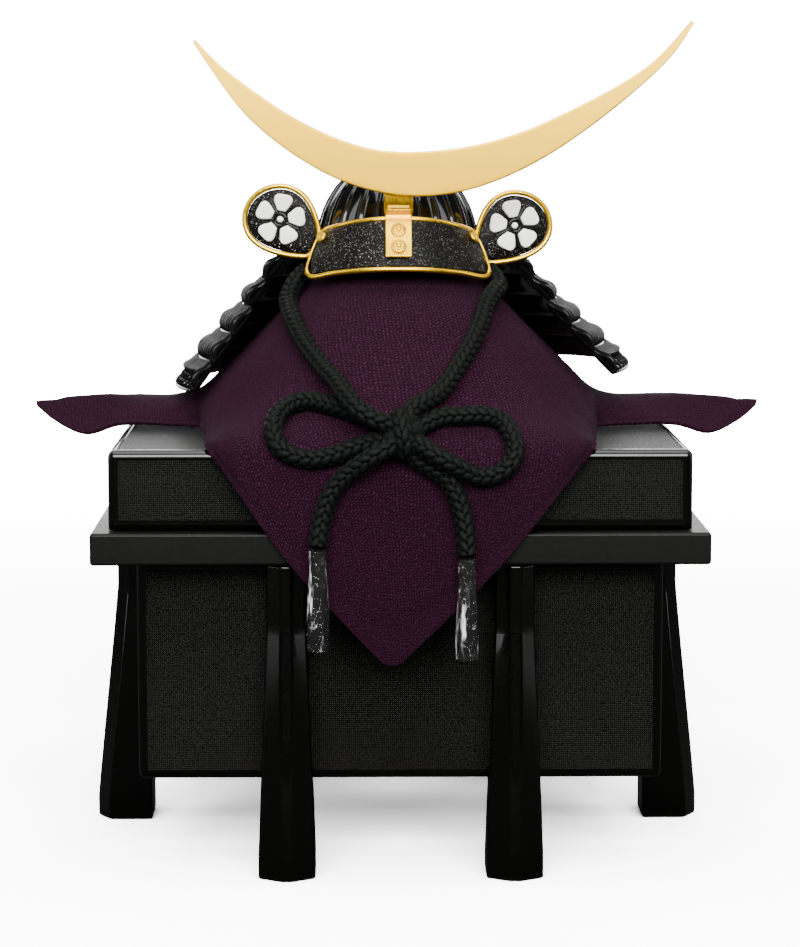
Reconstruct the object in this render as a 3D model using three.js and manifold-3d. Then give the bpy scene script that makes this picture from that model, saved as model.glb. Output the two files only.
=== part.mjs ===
// A small display kabuto, a samurai helmet at one third of its worn size, on its storage chest.
// Millimetres, +Z up, the front faces -Y, the origin is on the floor under the middle of the chest.
import * as THREE from "three";
import { mergeVertices } from "three/addons/utils/BufferGeometryUtils.js";
import { RoundedBoxGeometry } from "three/addons/geometries/RoundedBoxGeometry.js";
import Module from "manifold-3d";

const wasm = await Module();
wasm.setup();

const gap = 0.4; // clearance kept between neighbouring pieces
const lidTop = 199.5; // height of the chest's lid above the floor: the helmet's heights start here

const chest = {
  lidWidth: 270,
  lidDepth: 240,
  lidBottom: 162.4,
  ledgeWidth: 286,
  ledgeDepth: 256,
  ledgeTop: 162,
  ledgeBottom: 147,
  bodyWidth: 246,
  bodyDepth: 216,
  bodyBottom: 42.5,
  wall: 6,
  edgeRadius: 4,
};

const leg = {
  frontX: 53, // sideways place of the front and back legs
  topWidth: 18.6,
  footWidth: 26.6,
  topDepth: 17,
  footDepth: 28,
  straight: 28, // upright stretch below the ledge
  sole: 10, // upright stretch above the floor
  chamfer: 6.5,
  ridge: 5,
};

const bowl = {
  halfWidth: 39.5,
  halfDepth: 43,
  height: 45,
  springHeight: 88,
  rimHeight: 82,
  wall: 1.8,
  ribs: 24,
  ribHeight: 0.9,
};

const visor = {
  topMiddle: 103.3,
  topEnd: 95,
  topTurn: 66, // degrees from the front, where the upper edge ends
  offBowl: 2.6,
  bottomMiddle: 79.8,
  bottomEnd: 74.6,
  bottomReach: 58, // how far the lower edge stands in front of the bowl's middle
  bottomHalfWidth: 45,
  bottomSweep: 25,
  bulge: 1.6,
  thickness: 1.6,
  rimRadius: 1.35,
};

const stand = { footRadius: 44, postRadius: 9, slack: 1.2 };

const holder = { width: 13.5, offVisor: 2.8, thickness: 1.2, socketBack: -46.2, socketFront: -51.2 };
const socket = { bottom: 106, top: 120, slotWidth: 11, slotDepth: 2.4, tongueClearance: 0.4 };
const crest = { front: -53, thickness: 1.3, bracketTop: 130 };

const turnback = {
  centreX: 57.5,
  centreY: -13.4,
  leftHeight: 102,
  rightHeight: 98.9,
  yaw: THREE.MathUtils.degToRad(10),
  thickness: 1.8,
  rimRadius: 1.35,
  blossomHeight: 0.9,
};

const guard = {
  pitch: 16.5,
  firstRadius: 62.5,
  firstHeight: 77.5,
  slope: THREE.MathUtils.degToRad(46.5),
  frontTurns: [80, 72, 64, 64, 64], // degrees from the front at which each lame starts
  turnStep: 8,
  depthScale: 1.02,
  shift: 2.4, // how far the guard's lower edge stands to the right
  lift: 0.042, // rise of the lower edge for each millimetre to the right
};

const cloth = { thickness: 2.4, domeWidth: 32.8, domeHeight: 41.4, tipShift: -4.5 };
const cordDiameter = 8;
const cordSides = 8;

const finish = {
  lacquer: { color: 0x0c0b0a, roughness: 0.18, metalness: 0.1 },
  satinBlack: { color: 0x1f201b, roughness: 0.45, metalness: 0 },
  wovenBlack: { color: 0x232420, roughness: 0.6, metalness: 0 },
  gilt: { color: 0xd2a040, roughness: 0.28, metalness: 1 },
  paleGilt: { color: 0xecd08c, roughness: 0.5, metalness: 0.8 },
  enamel: { color: 0xfafaf6, roughness: 0.35, metalness: 0 },
  crepe: { color: 0x42173c, roughness: 0.9, metalness: 0 },
  braid: { color: 0x10130f, roughness: 0.75, metalness: 0 },
  film: { color: 0xb8bab8, roughness: 0.1, metalness: 0, transparent: true, opacity: 0.35 },
  wood: { color: 0x8a6a45, roughness: 0.7, metalness: 0 },
};

// ---- shared shape helpers ----

function asSolid(geometry) {
  const bare = geometry.clone();
  bare.deleteAttribute("normal");
  bare.deleteAttribute("uv");
  const merged = mergeVertices(bare, 1e-3);
  const vertProperties = merged.attributes.position.array;
  const triVerts = new Uint32Array(merged.index.array);
  return new wasm.Manifold(new wasm.Mesh({ numProp: 3, vertProperties, triVerts }));
}

function asGeometry(solid) {
  const mesh = solid.getMesh();
  const geometry = new THREE.BufferGeometry();
  geometry.setAttribute("position", new THREE.BufferAttribute(mesh.vertProperties, 3));
  geometry.setIndex(new THREE.BufferAttribute(mesh.triVerts, 1));
  return geometry;
}

function join(geometries) {
  return asGeometry(geometries.map(asSolid).reduce((whole, piece) => whole.add(piece)));
}

function cut(geometry, tool) {
  return asGeometry(asSolid(geometry).subtract(asSolid(tool)));
}

function indexed(positions, index) {
  const geometry = new THREE.BufferGeometry();
  geometry.setAttribute("position", new THREE.Float32BufferAttribute(positions, 3));
  geometry.setIndex(index);
  return geometry;
}

// Turns the faces of a closed geometry round when they point inwards.
function facingOut(geometry) {
  const place = geometry.attributes.position;
  const index = geometry.index.array;
  const [a, b, c] = [new THREE.Vector3(), new THREE.Vector3(), new THREE.Vector3()];
  let volume = 0;
  for (let i = 0; i < index.length; i += 3) {
    a.fromBufferAttribute(place, index[i]);
    b.fromBufferAttribute(place, index[i + 1]);
    c.fromBufferAttribute(place, index[i + 2]);
    volume += a.dot(b.cross(c));
  }
  if (volume < 0) {
    for (let i = 0; i < index.length; i += 3) {
      [index[i + 1], index[i + 2]] = [index[i + 2], index[i + 1]];
    }
  }
  return geometry;
}

// A closed body through cross-sections of equal length, capped at both ends.
// The flat outline has the same corners as each section and shows how to fill the caps.
function loft(sections, outline) {
  const count = outline.length;
  const index = [];
  for (let row = 0; row < sections.length - 1; row++) {
    for (let i = 0; i < count; i++) {
      const [a, b] = [row * count + i, row * count + ((i + 1) % count)];
      index.push(a, b, b + count, a, b + count, a + count);
    }
  }
  const end = (sections.length - 1) * count;
  for (const [a, b, c] of THREE.ShapeUtils.triangulateShape(outline, [])) {
    const turned = THREE.ShapeUtils.isClockWise(outline);
    index.push(...(turned ? [a, b, c] : [a, c, b]));
    index.push(...(turned ? [a, c, b] : [a, b, c]).map((corner) => corner + end));
  }
  const positions = sections.flat().flatMap((point) => point.toArray());
  return facingOut(indexed(positions, index));
}

// A wall of even thickness on both sides of an open surface.
function thicken(surface, thickness) {
  surface.computeVertexNormals();
  const { position, normal } = surface.attributes;
  const count = position.count;
  const positions = [];
  for (const side of [0.5, -0.5]) {
    for (let i = 0; i < count; i++) {
      const point = new THREE.Vector3().fromBufferAttribute(position, i);
      const out = new THREE.Vector3().fromBufferAttribute(normal, i);
      positions.push(...point.addScaledVector(out, side * thickness).toArray());
    }
  }
  const faces = Array.from(surface.index.array);
  const index = [...faces];
  const open = new Map();
  for (let i = 0; i < faces.length; i += 3) {
    const corners = faces.slice(i, i + 3);
    index.push(corners[0] + count, corners[2] + count, corners[1] + count);
    corners.forEach((from, k) => {
      const to = corners[(k + 1) % 3];
      if (!open.delete(to + "," + from)) open.set(from + "," + to, [from, to]);
    });
  }
  for (const [from, to] of open.values()) {
    index.push(to, from, from + count, to, from + count, to + count);
  }
  return facingOut(indexed(positions, index));
}

// The triangles of a grid of points, given as rows of equal length.
function gridSurface(rows) {
  const count = rows[0].length;
  const index = [];
  for (let row = 0; row < rows.length - 1; row++) {
    for (let i = 0; i < count - 1; i++) {
      const a = row * count + i;
      index.push(a, a + 1, a + count + 1, a, a + count + 1, a + count);
    }
  }
  return indexed(rows.flat().flatMap((point) => point.toArray()), index);
}

// A body turned round the upright axis; the profile's points are radius and height.
function turned(profile, segments) {
  const points = profile.map(([radius, height]) => new THREE.Vector2(radius, height));
  return new THREE.LatheGeometry(points, segments).rotateX(Math.PI / 2);
}

function roundTube(points, steps, diameter, sides) {
  const section = new THREE.Shape();
  for (let i = 0; i < sides; i++) {
    const turn = (i / sides) * 2 * Math.PI;
    const [x, y] = [(Math.cos(turn) * diameter) / 2, (Math.sin(turn) * diameter) / 2];
    if (i === 0) section.moveTo(x, y);
    else section.lineTo(x, y);
  }
  const path = new THREE.CatmullRomCurve3(points);
  return new THREE.ExtrudeGeometry(section, { steps, extrudePath: path, bevelEnabled: false });
}

function boxBetween(low, high) {
  const size = high.map((value, axis) => value - low[axis]);
  const middle = high.map((value, axis) => (value + low[axis]) / 2);
  return new THREE.BoxGeometry(...size).translate(...middle);
}

const whole = new THREE.Group();
const helmet = new THREE.Group();
helmet.position.z = lidTop;
whole.add(helmet);

function addPiece(parent, name, geometry, look) {
  const piece = new THREE.Mesh(geometry, new THREE.MeshStandardMaterial(look));
  piece.name = name;
  parent.add(piece);
  return piece;
}

// ---- storage chest ----

function roundedBlock(width, depth, bottom, top, radius, segments = 2) {
  const block = new RoundedBoxGeometry(width, depth, top - bottom, segments, radius);
  return block.translate(0, 0, (top + bottom) / 2);
}

function chestLid() {
  const outer = roundedBlock(chest.lidWidth, chest.lidDepth, chest.lidBottom, lidTop, chest.edgeRadius);
  const [x, y] = [chest.lidWidth / 2 - chest.wall, chest.lidDepth / 2 - chest.wall];
  return cut(outer, boxBetween([-x, -y, chest.lidBottom - 1], [x, y, lidTop - chest.wall]));
}

function chestLedge() {
  const [x, y] = [chest.bodyWidth / 2 - chest.wall, chest.bodyDepth / 2 - chest.wall];
  const outer = roundedBlock(chest.ledgeWidth, chest.ledgeDepth, chest.ledgeBottom, chest.ledgeTop, 1.6, 1);
  return cut(outer, boxBetween([-x, -y, chest.ledgeBottom - 1], [x, y, chest.ledgeTop + 1]));
}

// The body's rounded block runs past its flat rim, and what stands above the rim is cut away.
function chestBody() {
  const { bodyWidth, bodyDepth, bodyBottom, wall, edgeRadius } = chest;
  const top = chest.ledgeBottom - gap;
  const past = top + 2 * edgeRadius;
  const outer = roundedBlock(bodyWidth, bodyDepth, bodyBottom, past, edgeRadius);
  const [x, y] = [bodyWidth / 2 - wall, bodyDepth / 2 - wall];
  const hollow = boxBetween([-x, -y, bodyBottom + wall], [x, y, past + 1]);
  const above = boxBetween([-bodyWidth, -bodyDepth, top], [bodyWidth, bodyDepth, past + 1]);
  return cut(cut(outer, hollow), above);
}

// A splayed leg that stands against the chest's side; its local +Y points away from the chest.
function legGeometry() {
  const top = chest.ledgeBottom - gap;
  const levels = [
    { z: top, width: leg.topWidth, depth: leg.topDepth },
    { z: top - leg.straight, width: leg.topWidth, depth: leg.topDepth },
    { z: leg.sole, width: leg.footWidth, depth: leg.footDepth },
    { z: 0, width: leg.footWidth, depth: leg.footDepth },
  ];
  const outlineOf = ({ width, depth }) => [
    new THREE.Vector2(-width / 2, 0),
    new THREE.Vector2(width / 2, 0),
    new THREE.Vector2(width / 2, depth - leg.chamfer),
    new THREE.Vector2(leg.ridge / 2, depth),
    new THREE.Vector2(-leg.ridge / 2, depth),
    new THREE.Vector2(-width / 2, depth - leg.chamfer),
  ];
  const atHeight = (outline, z) => outline.map(({ x, y }) => new THREE.Vector3(x, y, z));
  const sections = levels.map((level) => atHeight(outlineOf(level), level.z));
  return loft(sections, outlineOf(levels[0]));
}

function addChest() {
  addPiece(whole, "chest_lid", chestLid(), finish.wovenBlack);
  addPiece(whole, "chest_ledge", chestLedge(), finish.satinBlack);
  addPiece(whole, "chest_body", chestBody(), finish.wovenBlack);
  const [side, end] = [chest.bodyWidth / 2 + gap, chest.bodyDepth / 2 + gap];
  const places = [
    { name: "leg_front_left", x: -leg.frontX, y: -end, turn: 180 },
    { name: "leg_front_right", x: leg.frontX, y: -end, turn: 180 },
    { name: "leg_back_left", x: -leg.frontX, y: end, turn: 0 },
    { name: "leg_back_right", x: leg.frontX, y: end, turn: 0 },
    { name: "leg_side_left", x: -side, y: 0, turn: 90 },
    { name: "leg_side_right", x: side, y: 0, turn: -90 },
  ];
  for (const { name, x, y, turn } of places) {
    const piece = addPiece(whole, name, legGeometry(), finish.lacquer);
    piece.position.set(x, y, 0);
    piece.rotation.z = THREE.MathUtils.degToRad(turn);
  }
}

// ---- stand and draped cloth ----

// A point of the cloth's middle layer on the rounded head of the stand.
function onDome(riseDegrees, turn, shrink = 0) {
  const rise = THREE.MathUtils.degToRad(riseDegrees);
  const radius = (cloth.domeWidth - shrink) * Math.cos(rise);
  const height = bowl.springHeight + (cloth.domeHeight - shrink) * Math.sin(rise);
  return new THREE.Vector3(radius * Math.sin(turn), -radius * Math.cos(turn), height);
}

function standGeometry() {
  const { footRadius, postRadius, slack } = stand;
  const under = cloth.thickness / 2 + gap;
  const dome = [0, 30, 60].map((rise) => {
    const point = onDome(rise, 0, under + slack);
    return [-point.y, point.z];
  });
  const foot = [[0, gap], [footRadius, gap], [footRadius, 6], [postRadius, 9]];
  const neck = [[postRadius, 78], [dome[0][0], 84]];
  const top = bowl.springHeight + cloth.domeHeight - under;
  return turned([...foot, ...neck, ...dome, [0, top]], 16);
}

// One row for each radial line of cloth in a quarter of the square, from the front corner to the
// side corner. The columns are the line's direction at the top in degrees from the front, its radii
// at two heights, and four places as sideways, forward and height: the foot of the slope, the lip,
// the fall and the hem.
const clothHeights = { waist: 79, waistRadius: 35.5, upper: 62, lower: 38 };
const clothColumns = ["turn", "upper", "lower", "foot", "lip", "fall", "hem"];
const clothRows = [
  [0, 64, 89, [0, 109, 16], [0, 122.4, 0], [0, 131.6, -46], [0, 133, -101]],
  [13, 64, 89, [25, 107, 16], [26, 122.2, 0], [25, 131.4, -42], [24, 133, -77]],
  [26, 63, 89, [49, 98, 17], [52, 122, 1.6], [51, 129, -20], [47, 132, -53]],
  [36, 61, 88, [66, 86, 17], [74, 119, 4.4], [75.6, 124, -4], [71.5, 127.4, -22]],
  [42, 60, 87, [74, 77, 17], [82, 109, 6], [83.6, 122, 2.6], [82.4, 125.4, -7]],
  [48, 59, 86, [80, 68, 17], [87, 90, 6], [88, 113, 3], [88.6, 123.4, 1.8]],
  [56, 57, 84, [86, 57, 17], [90.5, 70, 7], [91, 80, 3], [91.5, 95, 2.6]],
  [64, 55, 80.5, [90, 44, 18], [93.5, 51, 9], [94.5, 55, 4.5], [94.5, 63, 2.2]],
  [71, 53, 78, [93, 32, 18], [96.5, 33, 11], [97, 33, 6], [97.5, 36, 2.4]],
  [77, 52, 76.5, [94, 22, 18], [99, 25, 11], [105, 27, 5.5], [113, 29, 2.2]],
  [82, 51, 75.5, [95, 14, 18], [105, 16, 12], [121, 21, 8], [137, 27, 2.4]],
  [86, 50.5, 75, [95, 7, 18], [109, 8, 13], [132, 12, 11.4], [154, 21, -2.5]],
  [88, 50.5, 75, [95, 3, 18], [111, 4, 13.2], [138, 6, 12.8], [169, 11, 2.5]],
  [90, 50.5, 75, [95, 0, 18], [112, 0, 13.2], [146, 0, 13.6], [181, 0, 10.4]],
].map((values) => Object.fromEntries(values.map((value, i) => [clothColumns[i], value])));

function clothLine(row, sideways, forward) {
  const turn = THREE.MathUtils.degToRad(row.turn);
  const ring = (radius, height) =>
    new THREE.Vector3(sideways * radius * Math.sin(turn), -forward * radius * Math.cos(turn), height);
  const place = ([x, reach, height]) => {
    const shift = forward > 0 && height < 0 ? (cloth.tipShift * height) / clothRows[0].hem[2] : 0;
    return new THREE.Vector3(sideways * x + shift, -forward * reach, height);
  };
  const dome = [62, 34, 6].map((rise) => {
    const point = onDome(rise, turn);
    return new THREE.Vector3(sideways * point.x, forward * point.y, point.z);
  });
  const { waist, waistRadius, upper, lower } = clothHeights;
  const slope = [ring(waistRadius, waist), ring(row.upper, upper), ring(row.lower, lower)];
  const skirt = new THREE.CatmullRomCurve3([
    dome[2], ...slope, place(row.foot), place(row.lip), place(row.fall), place(row.hem),
  ]);
  const samples = [1, 2, 3, 4, 4.5, 5, 5.5, 6, 6.5, 7].map((knot) => skirt.getPoint(knot / 7));
  return [...dome, ...samples];
}

function clothGeometry() {
  const last = clothRows.length - 1;
  const quarters = [[1, 1, false], [1, -1, true], [-1, -1, false], [-1, 1, true]];
  const lines = quarters.flatMap(([sideways, forward, backwards]) => {
    const rows = backwards ? clothRows.toReversed() : clothRows;
    return rows.slice(0, last).map((row) => clothLine(row, sideways, forward));
  });
  const surface = gridSurface([...lines, lines[0]]);
  const closed = mergeVertices(surface, 1e-3);
  const apex = closed.attributes.position.count;
  const top = new THREE.Vector3(0, 0, bowl.springHeight + cloth.domeHeight);
  const positions = [...closed.attributes.position.array, ...top.toArray()];
  const index = Array.from(closed.index.array);
  const open = new Map();
  for (let i = 0; i < index.length; i += 3) {
    [0, 1, 2].forEach((k) => {
      const [from, to] = [index[i + k], index[i + ((k + 1) % 3)]];
      if (!open.delete(to + "," + from)) open.set(from + "," + to, [from, to]);
    });
  }
  for (const [from, to] of open.values()) {
    if (positions[from * 3 + 2] > bowl.springHeight) index.push(to, from, apex);
  }
  return thicken(indexed(positions, index), cloth.thickness);
}

// ---- helmet bowl ----

// A point on the bowl's outer face, pushed out by an offset.
function onBowl(turn, height, offset = 0) {
  const rise = Math.max(0, (height - bowl.springHeight) / bowl.height);
  const scale = Math.sqrt(1 - rise * rise);
  const x = (bowl.halfWidth * scale + offset) * Math.sin(turn);
  const y = -(bowl.halfDepth * scale + offset) * Math.cos(turn);
  return new THREE.Vector3(x, y, height);
}

function bowlGeometry() {
  const shell = (offset, rises) =>
    rises.map((degrees) => {
      const rise = THREE.MathUtils.degToRad(degrees);
      const radius = (bowl.halfWidth - offset) * Math.cos(rise);
      return [radius, bowl.springHeight + (bowl.height - offset) * Math.sin(rise)];
    });
  const outer = [[0, bowl.springHeight + bowl.height], ...shell(0, [76, 60, 44, 28, 12, 0])];
  const rim = [[bowl.halfWidth + 0.6, bowl.rimHeight], [bowl.halfWidth - bowl.wall, bowl.rimHeight]];
  const inner = [...shell(bowl.wall, [0, 30, 60]), [0, bowl.springHeight + bowl.height - bowl.wall]];
  const segments = bowl.ribs * 2;
  const geometry = turned([...outer, ...rim, ...inner].reverse(), segments);
  const place = geometry.attributes.position;
  const depth = bowl.halfDepth / bowl.halfWidth;
  for (let i = 0; i < place.count; i++) {
    const [x, y, z] = [place.getX(i), place.getY(i), place.getZ(i)];
    const radius = Math.hypot(x, y);
    const step = Math.round((Math.atan2(y, x) / (2 * Math.PI)) * segments);
    const outside = onBowl(Math.PI / 2, z).x - radius < bowl.wall / 2;
    const raised = outside && radius > 8 && z > bowl.springHeight - 1 && step % 2 !== 0;
    const scale = raised ? 1 + bowl.ribHeight / radius : 1;
    place.setXYZ(i, x * scale, y * scale * depth, z);
  }
  return geometry;
}

function crownRing() {
  const seatHeight = 130;
  const seat = onBowl(Math.PI / 2, seatHeight).x;
  const base = seatHeight + gap + 1.7;
  const rings = [[3, base + 1.8], [seat - 1, base - 0.6], [seat + 0.6, base - 0.2], [seat, base + 1.4]];
  const collar = [[6.5, base + 2.6], [5.4, base + 5.2], [3, base + 5.2], [3, base + 1.8]];
  return turned([...rings, ...collar], 16);
}

// ---- visor, its rim, studs and the crest's holder ----

// across runs from -1 to 1 over the visor, down from 0 at its upper edge to 1 at its lower one.
function onVisor(across, down) {
  const turn = THREE.MathUtils.degToRad(visor.topTurn) * across;
  const topHeight = THREE.MathUtils.lerp(visor.topMiddle, visor.topEnd, across * across);
  const top = onBowl(turn, topHeight, visor.offBowl);
  const bottomHeight = THREE.MathUtils.lerp(visor.bottomMiddle, visor.bottomEnd, across * across);
  const reach = visor.bottomReach - visor.bottomSweep * across * across;
  const bottom = new THREE.Vector3(visor.bottomHalfWidth * across, -reach, bottomHeight);
  const point = top.lerp(bottom, down);
  const swell = visor.bulge * Math.sin(Math.PI * down);
  return point.add(new THREE.Vector3(across * 0.5, -0.8, 0.5).multiplyScalar(swell));
}

function visorNormal(across, down) {
  const step = 0.02;
  const along = onVisor(across + step, down).sub(onVisor(across - step, down));
  const slope = onVisor(across, down + step).sub(onVisor(across, down - step));
  return slope.cross(along).normalize();
}

function visorGeometry() {
  const [columns, rows] = [16, 3];
  const [edge, top, bottom] = [0.94, 0.08, 0.92]; // how far the plate runs towards its rim
  const grid = [];
  for (let row = 0; row <= rows; row++) {
    const down = THREE.MathUtils.lerp(top, bottom, row / rows);
    const place = (_, i) => onVisor(THREE.MathUtils.lerp(-edge, edge, i / columns), down);
    grid.push(Array.from({ length: columns + 1 }, place));
  }
  return thicken(gridSurface(grid), visor.thickness);
}

function visorRim() {
  const across = [-0.946, -0.66, -0.33, 0, 0.33, 0.66, 0.946];
  const down = [0.14, 0.5, 0.86];
  const top = across.map((value) => onVisor(value, 0));
  const right = down.map((value) => onVisor(1, value));
  const bottom = across.toReversed().map((value) => onVisor(value, 1));
  const left = down.toReversed().map((value) => onVisor(-1, value));
  const edge = new THREE.CatmullRomCurve3([...top, ...right, ...bottom, ...left], true);
  return new THREE.TubeGeometry(edge, 38, visor.rimRadius, 6, true);
}

// A small turned piece seated on a surface: its axis follows the given direction.
function seatOn(piece, point, direction) {
  piece.position.copy(point);
  piece.quaternion.setFromUnitVectors(new THREE.Vector3(0, 0, 1), direction);
}

function addVisor() {
  addPiece(helmet, "visor", visorGeometry(), finish.lacquer);
  addPiece(helmet, "visor_rim", visorRim(), finish.gilt);
  const dome = [[0, 0], [2.8, 0], [2.8, 0.7], [1.7, 1.5], [0, 1.8]];
  for (const [name, across] of [["visor_stud_left", -0.86], ["visor_stud_right", 0.86]]) {
    const normal = visorNormal(across, 0.23);
    const seat = onVisor(across, 0.23).addScaledVector(normal, visor.thickness / 2 + gap + 0.2);
    seatOn(addPiece(helmet, name, turned(dome, 12), finish.gilt), seat, normal);
  }
}

function holderGeometry() {
  const normal = visorNormal(0, 0.5);
  const off = (down, distance) => onVisor(0, down).addScaledVector(normal, distance);
  const inner = [0.84, 0.5, 0.02].map((down) => off(down, holder.offVisor));
  const outer = [0.02, 0.5, 0.84].map((down) => off(down, holder.offVisor + holder.thickness));
  const strip = new THREE.Shape([...inner, ...outer].map(({ y, z }) => new THREE.Vector2(y, z)));
  const extrude = (shape) => {
    const geometry = new THREE.ExtrudeGeometry(shape, { depth: holder.width, bevelEnabled: false });
    const axes = new THREE.Matrix4().makeBasis(
      new THREE.Vector3(0, 1, 0), new THREE.Vector3(0, 0, 1), new THREE.Vector3(1, 0, 0));
    return geometry.applyMatrix4(axes).translate(-holder.width / 2, 0, 0);
  };
  const { socketBack, socketFront } = holder;
  const side = new THREE.Shape([
    new THREE.Vector2(inner[2].y, inner[2].z),
    new THREE.Vector2(outer[0].y, outer[0].z),
    new THREE.Vector2(socketFront + 2.2, socket.bottom + 1.6),
    new THREE.Vector2(socketFront + 0.5, socket.bottom + 6),
    new THREE.Vector2(socketFront, socket.top),
    new THREE.Vector2(socketBack, socket.top),
    new THREE.Vector2(socketBack, socket.bottom + 1),
  ]);
  const middle = (socketBack + socketFront) / 2;
  const slot = boxBetween(
    [-socket.slotWidth / 2, middle - socket.slotDepth / 2, socket.bottom + 2],
    [socket.slotWidth / 2, middle + socket.slotDepth / 2, socket.top + 1]);
  return cut(join([extrude(strip), extrude(side)]), slot);
}

// A rosette of twelve petals in two tiers.
function rosetteGeometry() {
  const petals = 12;
  const tier = (radius, depth) => {
    const rim = Array.from({ length: petals * 2 }, (_, i) => {
      const turn = (i / (petals * 2)) * 2 * Math.PI;
      const reach = radius * (i % 2 ? 0.9 : 1);
      return new THREE.Vector2(reach * Math.cos(turn), reach * Math.sin(turn));
    });
    return new THREE.ExtrudeGeometry(new THREE.Shape(rim), { depth, bevelEnabled: false });
  };
  const middle = turned([[0, 0], [1.9, 0], [1.9, 1.3], [0, 1.9]], 8);
  return join([tier(3.75, 0.8), middle]);
}

function addHolder() {
  addPiece(helmet, "crest_holder", holderGeometry(), finish.gilt);
  const normal = visorNormal(0, 0.5);
  for (const [name, down] of [["rosette_upper", 0.34], ["rosette_lower", 0.66]]) {
    const stand = holder.offVisor + holder.thickness + gap + 0.15;
    const seat = onVisor(0, down).addScaledVector(normal, stand);
    seatOn(addPiece(helmet, name, rosetteGeometry(), finish.gilt), seat, normal);
  }
}

// ---- crescent crest ----

// Sideways place and height of the crescent's edges, each from one tip to the other.
const crestOuter = [
  [-97.8, 187], [-72, 151.9], [-38.8, 127.1], [-5.8, 115.6], [27.3, 115.9],
  [60.4, 127.6], [93.4, 148.6], [126.4, 176.7], [140.6, 196.2],
];
const crestInner = [
  [139.2, 197.6], [118.2, 175.8], [85.1, 156.8], [52.1, 142.8], [19, 136.2],
  [-14, 137.3], [-47.1, 150.3], [-80.1, 172.6], [-96.8, 188.6],
];

function crestGeometry() {
  const outline = new THREE.Shape();
  const asPoints = (edge) => edge.map(([x, y]) => new THREE.Vector2(x, y));
  const [outer, inner] = [asPoints(crestOuter), asPoints(crestInner)];
  outline.moveTo(outer[0].x, outer[0].y);
  outline.splineThru(outer.slice(1));
  outline.lineTo(inner[0].x, inner[0].y);
  outline.splineThru(inner.slice(1));
  const plate = new THREE.ExtrudeGeometry(outline, {
    depth: crest.thickness,
    bevelEnabled: false,
    curveSegments: 3,
  });
  plate.rotateX(Math.PI / 2).translate(0, crest.front + crest.thickness, 0);
  const middle = (holder.socketBack + holder.socketFront) / 2;
  const half = socket.slotWidth / 2 - socket.tongueClearance;
  const deep = socket.slotDepth / 2 - socket.tongueClearance;
  const tongue = boxBetween(
    [-half, middle - deep, socket.bottom + 2.8],
    [half, middle + deep, crest.bracketTop]);
  const bracket = boxBetween(
    [-half, crest.front + crest.thickness - 0.5, socket.top + gap],
    [half, middle + deep, crest.bracketTop]);
  return join([plate, tongue, bracket]);
}

// ---- turned-back flaps ----

// The flap's outline, round outside and drawn to a neck towards the visor; +X points outwards.
function flapOutline(inset = 0) {
  const shape = new THREE.Shape();
  const pull = (x, y) => {
    const length = Math.hypot(x, y);
    return [x - (x / length) * inset, y - (y / length) * inset];
  };
  shape.moveTo(...pull(-19.4, -6.5));
  shape.bezierCurveTo(...pull(-17.6, 4), ...pull(-13.2, 15.4), ...pull(-1, 16.3));
  shape.bezierCurveTo(...pull(10, 16.6), ...pull(18.4, 9), ...pull(18.1, -1));
  shape.bezierCurveTo(...pull(17.6, -10.6), ...pull(8, -17.4), ...pull(-11.5, -18.2));
  shape.bezierCurveTo(...pull(-15, -18.4), ...pull(-18.6, -14), ...pull(-19.4, -6.5));
  return shape;
}

function flapPlate() {
  const geometry = new THREE.ExtrudeGeometry(flapOutline(turnback.rimRadius + gap + 0.2), {
    depth: turnback.thickness,
    bevelEnabled: false,
    curveSegments: 5,
  });
  return geometry.translate(0, 0, -turnback.thickness / 2);
}

function flapRim() {
  const points = flapOutline().getPoints(4).slice(1).map(({ x, y }) => new THREE.Vector3(x, y, 0));
  const edge = new THREE.CatmullRomCurve3(points, true);
  return new THREE.TubeGeometry(edge, 24, turnback.rimRadius, 6, true);
}

// Five petals held by narrow stems to a small round centre.
function blossomGeometry() {
  const petal = new THREE.Shape();
  petal.moveTo(2.1, 4.3);
  petal.lineTo(4.5, 9.2);
  petal.bezierCurveTo(4.6, 12.6, 1.6, 12.4, 0, 11.6);
  petal.bezierCurveTo(-1.6, 12.4, -4.6, 12.6, -4.5, 9.2);
  petal.lineTo(-2.1, 4.3);
  const extrude = (shape, depth) =>
    new THREE.ExtrudeGeometry(shape, { depth, bevelEnabled: false, curveSegments: 2 });
  const stem = () => boxBetween([-0.5, 1, 0], [0.5, 5, turnback.blossomHeight * 0.5]);
  const pieces = [turned([[0, 0], [1.7, 0], [1.7, 0.9], [0, 1.2]], 10)];
  for (let i = 0; i < 5; i++) {
    const turn = (i / 5) * 2 * Math.PI;
    pieces.push(extrude(petal, turnback.blossomHeight).rotateZ(turn), stem().rotateZ(turn));
  }
  return join(pieces).rotateZ(THREE.MathUtils.degToRad(10));
}

function addTurnbacks() {
  for (const [side, outwards] of [["left", -1], ["right", 1]]) {
    const flap = new THREE.Group();
    const height = outwards < 0 ? turnback.leftHeight : turnback.rightHeight;
    flap.position.set(outwards * turnback.centreX, turnback.centreY, height);
    // Local X runs outwards, local Y up and local Z to the front; the left flap is mirrored.
    flap.rotation.set(Math.PI / 2, 0, outwards * turnback.yaw, "ZXY");
    flap.scale.x = outwards;
    helmet.add(flap);
    addPiece(flap, "turnback_" + side, flapPlate(), finish.lacquer);
    addPiece(flap, "turnback_rim_" + side, flapRim(), finish.gilt);
    const blossom = addPiece(flap, "blossom_" + side, blossomGeometry(), finish.enamel);
    blossom.position.z = turnback.thickness / 2 + gap;
  }
}

// ---- laced neck guard ----

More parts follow.
